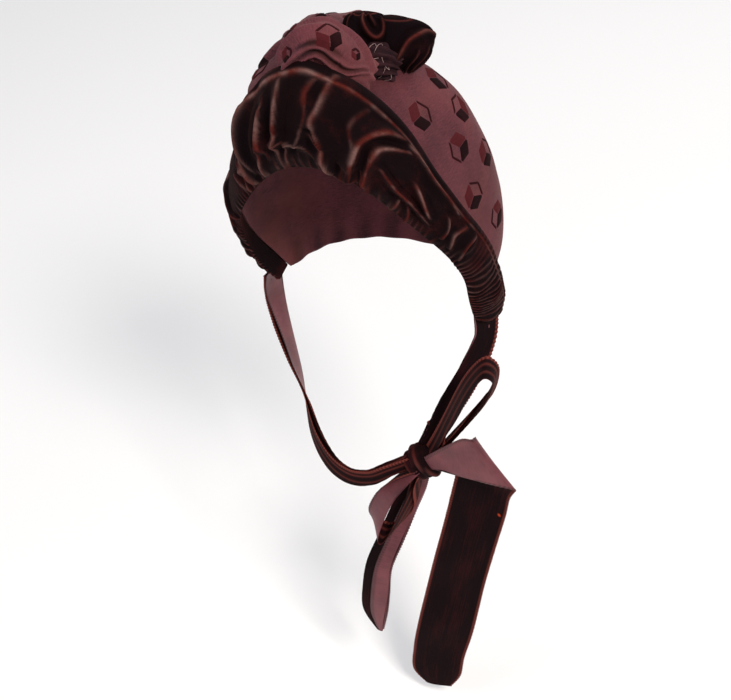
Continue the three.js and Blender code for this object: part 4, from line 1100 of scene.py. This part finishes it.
FRONT_LOOP_ROWS = table("side back rise width depth turn", [
    (0.22, 0.00, -0.15, 0.42, 0.24, 20),
    (0.19, 0.02, 0.15, 0.60, 0.32, 22),
    (0.15, 0.03, 0.45, 0.84, 0.44, 26),
    (0.12, 0.04, 0.72, 0.90, 0.44, 28),
    (0.10, 0.05, 0.92, 0.72, 0.30, 30),
    (0.09, 0.05, 1.00, 0.40, 0.14, 30),
])
REAR_LOOP_ROWS = table("side back rise width depth turn", [
    (0.35, 0.03, -0.20, 0.50, 0.26, 20),
    (0.36, 0.05, 0.12, 0.76, 0.36, 20),
    (0.38, 0.08, 0.40, 1.06, 0.48, 18),
    (0.37, 0.10, 0.68, 1.14, 0.48, 16),
    (0.33, 0.11, 0.90, 0.92, 0.34, 14),
    (0.30, 0.12, 0.99, 0.56, 0.16, 14),
])


def standing_points(rows, sides, steps):
    row = read(rows, np.linspace(0, 1, steps + 1))
    foot = np.array([[rows["side"][0] * CROWN_WIDTH / 2, CROWN_SET_BACK + rows["back"][0] * CROWN_BACK, 0]])
    seat_height = crown_reach(foot, np.array([[0.0, 0, 1]]), 0)[0]
    centres = np.stack([row["side"] * CROWN_WIDTH / 2, CROWN_SET_BACK + row["back"] * CROWN_BACK,
                        seat_height + row["rise"] * LOOP_HEIGHT], axis=1)
    yaw = np.radians(row["turn"])
    across = np.stack([np.cos(yaw), np.sin(yaw), 0 * yaw], axis=1)
    through = np.stack([-np.sin(yaw), np.cos(yaw), 0 * yaw], axis=1)
    turn = np.linspace(0, 2 * math.pi, sides + 1)
    wide = row["width"] * LOOP_WIDTH / 2
    deep = row["depth"] * LOOP_WIDTH / 2
    return (centres[None] + across[None] * (wide * np.cos(turn)[:, None])[..., None]
            + through[None] * (deep * np.sin(turn)[:, None])[..., None])


LOOP_SCALE = np.array([90.0, 34.0])
LOOP_GRID = (150, 90)


def standing_loop(name, node, rows, seed, folds):
    points = standing_points(rows, *LOOP_GRID)
    u, v = share_grid(*LOOP_GRID)
    creases, tone = folds_over(u * LOOP_SCALE[0], v * LOOP_SCALE[1], folds, LOOP_SCALE)
    pleats = np.sin(u * 2 * math.pi * 13 + 1.2 * np.sin(v * 4 + seed)) * np.clip(1 - v * 3.5, 0, 1)
    # A painted highlight runs along the loop's top rim.
    tone = tone + 0.5 * ridge(v - 0.95, 0.025)
    lift = creases + pleats * 0.9 + noise_field(points, 0.05, seed) * 2.2
    points = close_round(off_crown(wrinkled(points, lift), PILE_CLEARANCE))
    piece = cloth(name, points, [loop_velvet], tone=np.clip(tone, -0.3, 1), wrap=True, cap=True)
    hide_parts(node)


standing_loop("front_loop_velvet", "velvet_loop_front", FRONT_LOOP_ROWS, 2.0, (
    (3.4, 1.8, 0.80, 0.3, ((0.74, 0.97), (0.72, 0.80), (0.74, 0.62), (0.78, 0.52), (0.83, 0.56),
                           (0.87, 0.74))),
    (2.0, 1.4, 0.45, 0.0, ((0.80, 0.95), (0.79, 0.80), (0.80, 0.68))),
    (1.6, 1.4, 0.45, 0.0, ((0.60, 0.97), (0.59, 0.80), (0.60, 0.60))),
    (1.4, 1.2, 0.25, 0.0, ((0.66, 0.05), (0.67, 0.25), (0.70, 0.45)))))
standing_loop("rear_loop_velvet", "velvet_loop_rear", REAR_LOOP_ROWS, 5.0, (
    (3.2, 1.6, 0.80, 0.4, ((0.70, 0.14), (0.72, 0.32), (0.75, 0.48), (0.79, 0.60), (0.86, 0.67), (0.92, 0.68),
                           (0.98, 0.60))),
    (1.8, 1.2, 0.40, 0.0, ((0.80, 0.04), (0.82, 0.22), (0.84, 0.42))),
    (1.8, 1.2, 0.40, 0.0, ((0.85, 0.04), (0.88, 0.24), (0.91, 0.44))),
    (1.8, 1.2, 0.35, 0.0, ((0.91, 0.06), (0.94, 0.22), (0.97, 0.36))),
    (1.6, 1.3, 0.35, 0.0, ((0.62, 0.10), (0.60, 0.40), (0.62, 0.70)))))

# Ribbons

KNOT_PLACE = (0.656, -0.544, -0.848)


def on_head(row):
    return np.stack([row["side"] * CROWN_WIDTH / 2, CROWN_SET_BACK + row["back"] * CROWN_BACK,
                     row["drop"] * CROWN_RISE], axis=1)


knot_middle = np.array([KNOT_PLACE[0] * CROWN_WIDTH / 2, CROWN_SET_BACK + KNOT_PLACE[1] * CROWN_BACK,
                        KNOT_PLACE[2] * CROWN_RISE])


def from_knot(length):
    def place(row):
        return knot_middle + np.stack([row["side"], row["out"], row["up"]], axis=1) * length
    return place


def against_neck(row, centres, along):
    outwards = np.stack([centres[:, 0], centres[:, 1] - CROWN_SET_BACK, 0 * centres[:, 0]], axis=1)
    outwards -= along * (outwards * along).sum(axis=1)[:, None]
    outwards /= np.linalg.norm(outwards, axis=1)[:, None]
    turn = np.radians(row["turn"])[:, None]
    outwards = outwards * np.cos(turn) + np.cross(along, outwards) * np.sin(turn)
    return np.cross(along, outwards)


def turned_by(row, centres, along):
    yaw, pitch = np.radians(row["yaw"]), np.radians(row["pitch"])
    return np.stack([np.cos(yaw) * np.cos(pitch), -np.sin(yaw) * np.cos(pitch), np.sin(pitch)], axis=1)


PICOT_DEPTH = 0.45
LAYER_GAP = 1.5
FOLD_SHARPNESS = 0.985
RIBBON_WALL = 0.4


def ribbon_points(rows, place_of, across_of, steps, start=1, tip=1.0, ripple=0.6, folds=None):
    """A ribbon's surface, folded lengthwise into layers where it is narrower than its cloth."""
    share = np.linspace(0, 1, steps + 1)
    row = read(rows, share)
    centres = place_of(row)
    along = np.gradient(centres, axis=0)
    along /= np.linalg.norm(along, axis=1)[:, None]
    across = across_of(row, centres, along)
    across /= np.linalg.norm(across, axis=1)[:, None]
    through = np.cross(along, across)
    through /= np.linalg.norm(through, axis=1)[:, None]
    run = np.concatenate([[0], np.cumsum(np.linalg.norm(np.diff(centres, axis=0), axis=1))])
    u = np.linspace(0, 1, RIBBON_ACROSS + 1)[:, None]
    folded = read(rows, np.minimum(share, tip))["width"][None]
    layers = 1 + np.maximum(0, 1 / folded - 1.12) * 1.12 if folds is None else np.full_like(folded, folds)
    phase = u * layers
    sideways = -np.arcsin(FOLD_SHARPNESS * np.cos(math.pi * phase)) / math.asin(FOLD_SHARPNESS)
    sideways = start * sideways * row["width"][None] * RIBBON_WIDTH / 2
    picot = PICOT_DEPTH * np.sin(2 * math.pi * run / PICOT_PITCH)
    edge = (u > 1 - 1e-6) * 1.0 - (u < 1e-6)
    sideways = sideways + start * edge * picot * np.where(phase % 2 > 1, -1, 1)
    stacked = phase + np.sin(2 * math.pi * phase) / (2 * math.pi) - layers / 2
    deep = stacked * LAYER_GAP + ripple * np.sin(run / 13 + 4 * u)
    return centres[None] + across[None] * sideways[..., None] + through[None] * deep[..., None]


def ribbon(name, node, rows, place_of, across_of, steps, materials, change_at=None, pleats=0, **shape):
    """Dresses a tie, loop or tail in ribbon; shape is passed on to ribbon_points."""
    points = ribbon_points(rows, place_of, across_of, steps, **shape)
    u = np.linspace(-1, 1, points.shape[0])[:, None]
    # The tone is raised along the two edges, and on pleat crests as a painted highlight.
    across = 0.5 * ridge(1 - np.abs(u), 0.05)
    if pleats:
        across = np.maximum(across, 0.75 * (0.5 + 0.5 * np.cos(math.pi * pleats * u)) ** 5)
    tone = np.broadcast_to(across, points.shape[:2])
    piece = cloth(name, points, materials, tone=tone, wall=RIBBON_WALL, width=RIBBON_WIDTH,
                  change_at=change_at)
    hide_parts(node)
    length = path_length(rows, place_of)


def path_length(rows, place_of):
    centres = place_of(read(rows, np.linspace(0, 1, 200)))
    return float(np.linalg.norm(np.diff(centres, axis=0), axis=1).sum())


TIE_LEFT_ROWS = table("side back drop width turn", [
    (0.98, 0.15, -0.20, 0.50, 35),
    (0.99, 0.10, -0.34, 0.50, 35),
    (0.92, -0.11, -0.47, 0.46, 35),
    (0.81, -0.30, -0.60, 0.42, 30),
    (0.69, -0.43, -0.74, 0.30, 20),
    (0.63, -0.48, -0.80, 0.24, 20),
])
TIE_RIGHT_ROWS = table("side back drop width turn", [
    (-0.93, 0.14, -0.19, 0.50, 0),
    (-0.97, 0.20, -0.29, 0.50, 0),
    (-0.96, 0.20, -0.40, 0.50, 0),
    (-0.88, 0.12, -0.51, 0.50, 0),
    (-0.74, -0.03, -0.63, 0.50, 0),
    (-0.58, -0.20, -0.75, 0.50, 0),
    (-0.39, -0.45, -0.88, 0.46, 0),
    (-0.20, -0.59, -0.97, 0.42, 0),
    (0.00, -0.65, -1.00, 0.38, 0),
    (0.20, -0.66, -0.97, 0.34, 0),
    (0.37, -0.64, -0.90, 0.30, 0),
    (0.55, -0.56, -0.85, 0.28, 0),
])
UPPER_LOOP_ROWS = table("side out up width yaw pitch", [
    (0.055, 0.00, 0.095, 0.26, 60, 0),
    (0.221, -0.05, 0.491, 0.46, 66, -4),
    (0.331, -0.08, 0.771, 0.50, 70, -6),
    (0.411, -0.08, 0.921, 0.50, 74, -4),
    (0.461, -0.06, 0.951, 0.50, 78, 0),
    (0.495, -0.02, 0.861, 0.50, 82, 8),
    (0.435, 0.03, 0.641, 0.50, 86, 12),
    (0.315, 0.08, 0.411, 0.42, 84, 10),
    (0.080, 0.03, 0.070, 0.28, 80, 6),
])
LOWER_LOOP_ROWS = table("side out up width yaw pitch", [
    (-0.08, -0.05, -0.10, 0.34, 40, 20),
    (-0.24, -0.17, -0.28, 0.46, 36, 24),
    (-0.36, -0.24, -0.44, 0.50, 34, 20),
    (-0.44, -0.29, -0.67, 0.50, 44, 10),
    (-0.43, -0.32, -0.83, 0.50, 66, 0),
    (-0.34, -0.29, -0.91, 0.50, 90, 0),
    (-0.24, -0.23, -0.81, 0.50, 104, 0),
    (-0.15, -0.17, -0.60, 0.46, 108, 0),
    (-0.10, -0.11, -0.42, 0.40, 106, 0),
    (-0.04, -0.04, -0.13, 0.32, 100, 0),
])
NARROW_TAIL_ROWS = table("side out up width yaw pitch", [
    (-0.020, 0.02, -0.045, 0.34, 0, 0),
    (-0.057, 0.04, -0.187, 0.40, 0, 0),
    (-0.107, 0.02, -0.327, 0.44, 0, 0),
    (-0.147, -0.04, -0.457, 0.46, 5, 0),
    (-0.187, -0.08, -0.587, 0.48, 5, 0),
    (-0.207, -0.09, -0.737, 0.52, 5, 0),
    (-0.217, -0.09, -0.877, 0.46, 5, 0),
    (-0.197, -0.09, -0.987, 0.12, 5, 0),
])
WIDE_TAIL_ROWS = table("side out up width yaw pitch", [
    (0.022, -0.020, 0.020, 0.28, 0, -86),
    (0.106, -0.060, 0.089, 0.60, 0, -82),
    (0.173, -0.075, 0.118, 0.90, 0, -72),
    (0.238, -0.075, 0.123, 1.10, 0, -54),
    (0.242, -0.045, 0.099, 1.10, 0, -50),
    (0.202, -0.010, 0.005, 1.08, 0, -42),
    (0.182, -0.010, -0.095, 1.02, 0, -30),
    (0.152, -0.020, -0.250, 0.96, 0, -20),
    (0.122, -0.030, -0.405, 0.96, 0, -18),
    (0.097, -0.030, -0.540, 0.98, 0, -10),
    (0.072, -0.040, -0.685, 1.00, 0, 0),
    (0.047, -0.040, -0.820, 1.00, 0, 10),
    (0.037, -0.040, -0.925, 0.96, 0, 14),
    (0.042, -0.040, -0.990, 0.50, 0, 14),
])

ribbon("tie_left_ribbon", "tie_left", TIE_LEFT_ROWS, on_head, against_neck, 180,
       [ribbon_velvet, ribbon_satin])
ribbon("tie_right_ribbon", "tie_right", TIE_RIGHT_ROWS, on_head, against_neck, 360,
       [ribbon_satin, ribbon_velvet, ribbon_velvet], change_at=0.46, pleats=8)
ribbon("upper_loop_ribbon", "bow_loop_upper", UPPER_LOOP_ROWS, from_knot(UPPER_LOOP_LENGTH), turned_by, 300,
       [ribbon_velvet, ribbon_velvet], pleats=6, ripple=0.3)
ribbon("lower_loop_ribbon", "bow_loop_lower", LOWER_LOOP_ROWS, from_knot(LOWER_LOOP_LENGTH), turned_by, 260,
       [ribbon_satin, ribbon_velvet, ribbon_velvet], change_at=0.46, pleats=6, ripple=0.3)
ribbon("narrow_tail_ribbon", "tail_narrow", NARROW_TAIL_ROWS, from_knot(NARROW_TAIL_LENGTH), turned_by, 260,
       [ribbon_satin, ribbon_velvet], start=-1, folds=2.6)
ribbon("wide_tail_ribbon", "tail_wide", WIDE_TAIL_ROWS, from_knot(WIDE_TAIL_LENGTH), turned_by, 460,
       [ribbon_satin, marked_velvet], tip=0.9)

# Knot: turns of pleated ribbon wrapped round a small lump
turn, rise = np.meshgrid(np.linspace(0, 2 * math.pi, 97), np.linspace(-0.97, 0.97, 61), indexing="ij")
reach = np.sqrt(1 - rise * rise)
over = np.cos(turn) * reach
wraps = np.sin(over * 7 + rise * 1.6) * 1.0 + 0.5 * np.sin(over * 15 - rise * 2.4 + 0.6)
body = np.stack([np.cos(turn) * reach, 0.7 * np.sin(turn) * reach, 1.05 * rise], axis=2) * KNOT_WIDTH / 2
length = np.linalg.norm(body, axis=2)
body = body * ((length + wraps) / length)[..., None]
tilt = -math.radians(KNOT_TILT)
turned_body = np.stack([body[..., 0] * math.cos(tilt) + body[..., 2] * math.sin(tilt), body[..., 1],
                        -body[..., 0] * math.sin(tilt) + body[..., 2] * math.cos(tilt)], axis=2)
# The wraps' crests carry a painted highlight through the tone.
knot = cloth("knot_ribbon", close_round(turned_body + knot_middle), [knot_velvet],
             tone=np.clip(wraps * 0.35 - 0.12, 0, 0.5), wrap=True, cap=True)
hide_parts("bow_knot")

# Loose threads that loop over the gathers, from one place on their surface to another
THREAD_RADIUS = 0.16
THREADS = ((0.08, 0.34, 0.13, 0.50, 3), (0.98, 0.50, 0.07, 0.66, 3), (0.08, 0.70, 0.15, 0.56, 3),
           (0.93, 0.62, 0.02, 0.82, 3), (0.18, 0.40, 0.26, 0.54, 3), (0.24, 0.44, 0.16, 0.30, 3))
bm = bmesh.new()
gather_normals = surface_normals(gather_surface) * outward_sign(gather_surface)
for start_u, start_v, end_u, end_v, height in THREADS:
    (first, last), (rising, falling) = at_surface(gather_surface, gather_normals,
                                                  np.array([start_u, end_u]), np.array([start_v, end_v]))
    sway = np.cross(last - first, rising) * 0.25
    tube(bm, [first - rising, first + rising * height * 0.6 + sway, (first + last) / 2 + rising * height,
              last + falling * height * 0.5 - sway, last - falling], THREAD_RADIUS)
finish("gather_threads", bm, [thread_cotton])

# Floor and light
FLOOR_DROP = -0.515
FLOOR_HALF = 4.0
bm = bmesh.new()
bmesh.ops.create_grid(bm, x_segments=1, y_segments=1, size=FLOOR_HALF)
floor_mesh = bpy.data.meshes.new("floor")
bm.to_mesh(floor_mesh)
bm.free()
floor_mesh.transform(Matrix.Translation((0, 0, FLOOR_DROP)))
floor_mesh.materials.append(floor_paper)
floor = bpy.data.objects.new("floor", floor_mesh)
bpy.context.scene.collection.objects.link(floor)

world = bpy.data.worlds.new("studio")
world.use_nodes = True
world.node_tree.nodes["Background"].inputs["Color"].default_value = (0.93, 0.94, 1.0, 1)
world.node_tree.nodes["Background"].inputs["Strength"].default_value = 0.62
bpy.context.scene.world = world


def soft_light(name, place, size, power, colour):
    data = bpy.data.lights.new(name, "AREA")
    data.shape = "SQUARE"
    data.size = size
    data.energy = power
    data.color = colour
    lamp = bpy.data.objects.new(name, data)
    lamp.location = place
    aim = Vector((0, 0, -0.15)) - Vector(place)
    lamp.rotation_euler = aim.to_track_quat("-Z", "Y").to_euler()
    bpy.context.scene.collection.objects.link(lamp)


soft_light("key", (1.1, -0.9, 1.3), 0.5, 30, (1.0, 0.95, 0.88))
soft_light("fill", (-1.2, -1.2, 0.8), 1.2, 7, (0.95, 0.97, 1.0))
soft_light("rim", (0.5, 1.5, 1.2), 0.9, 12, (1.0, 0.98, 0.95))
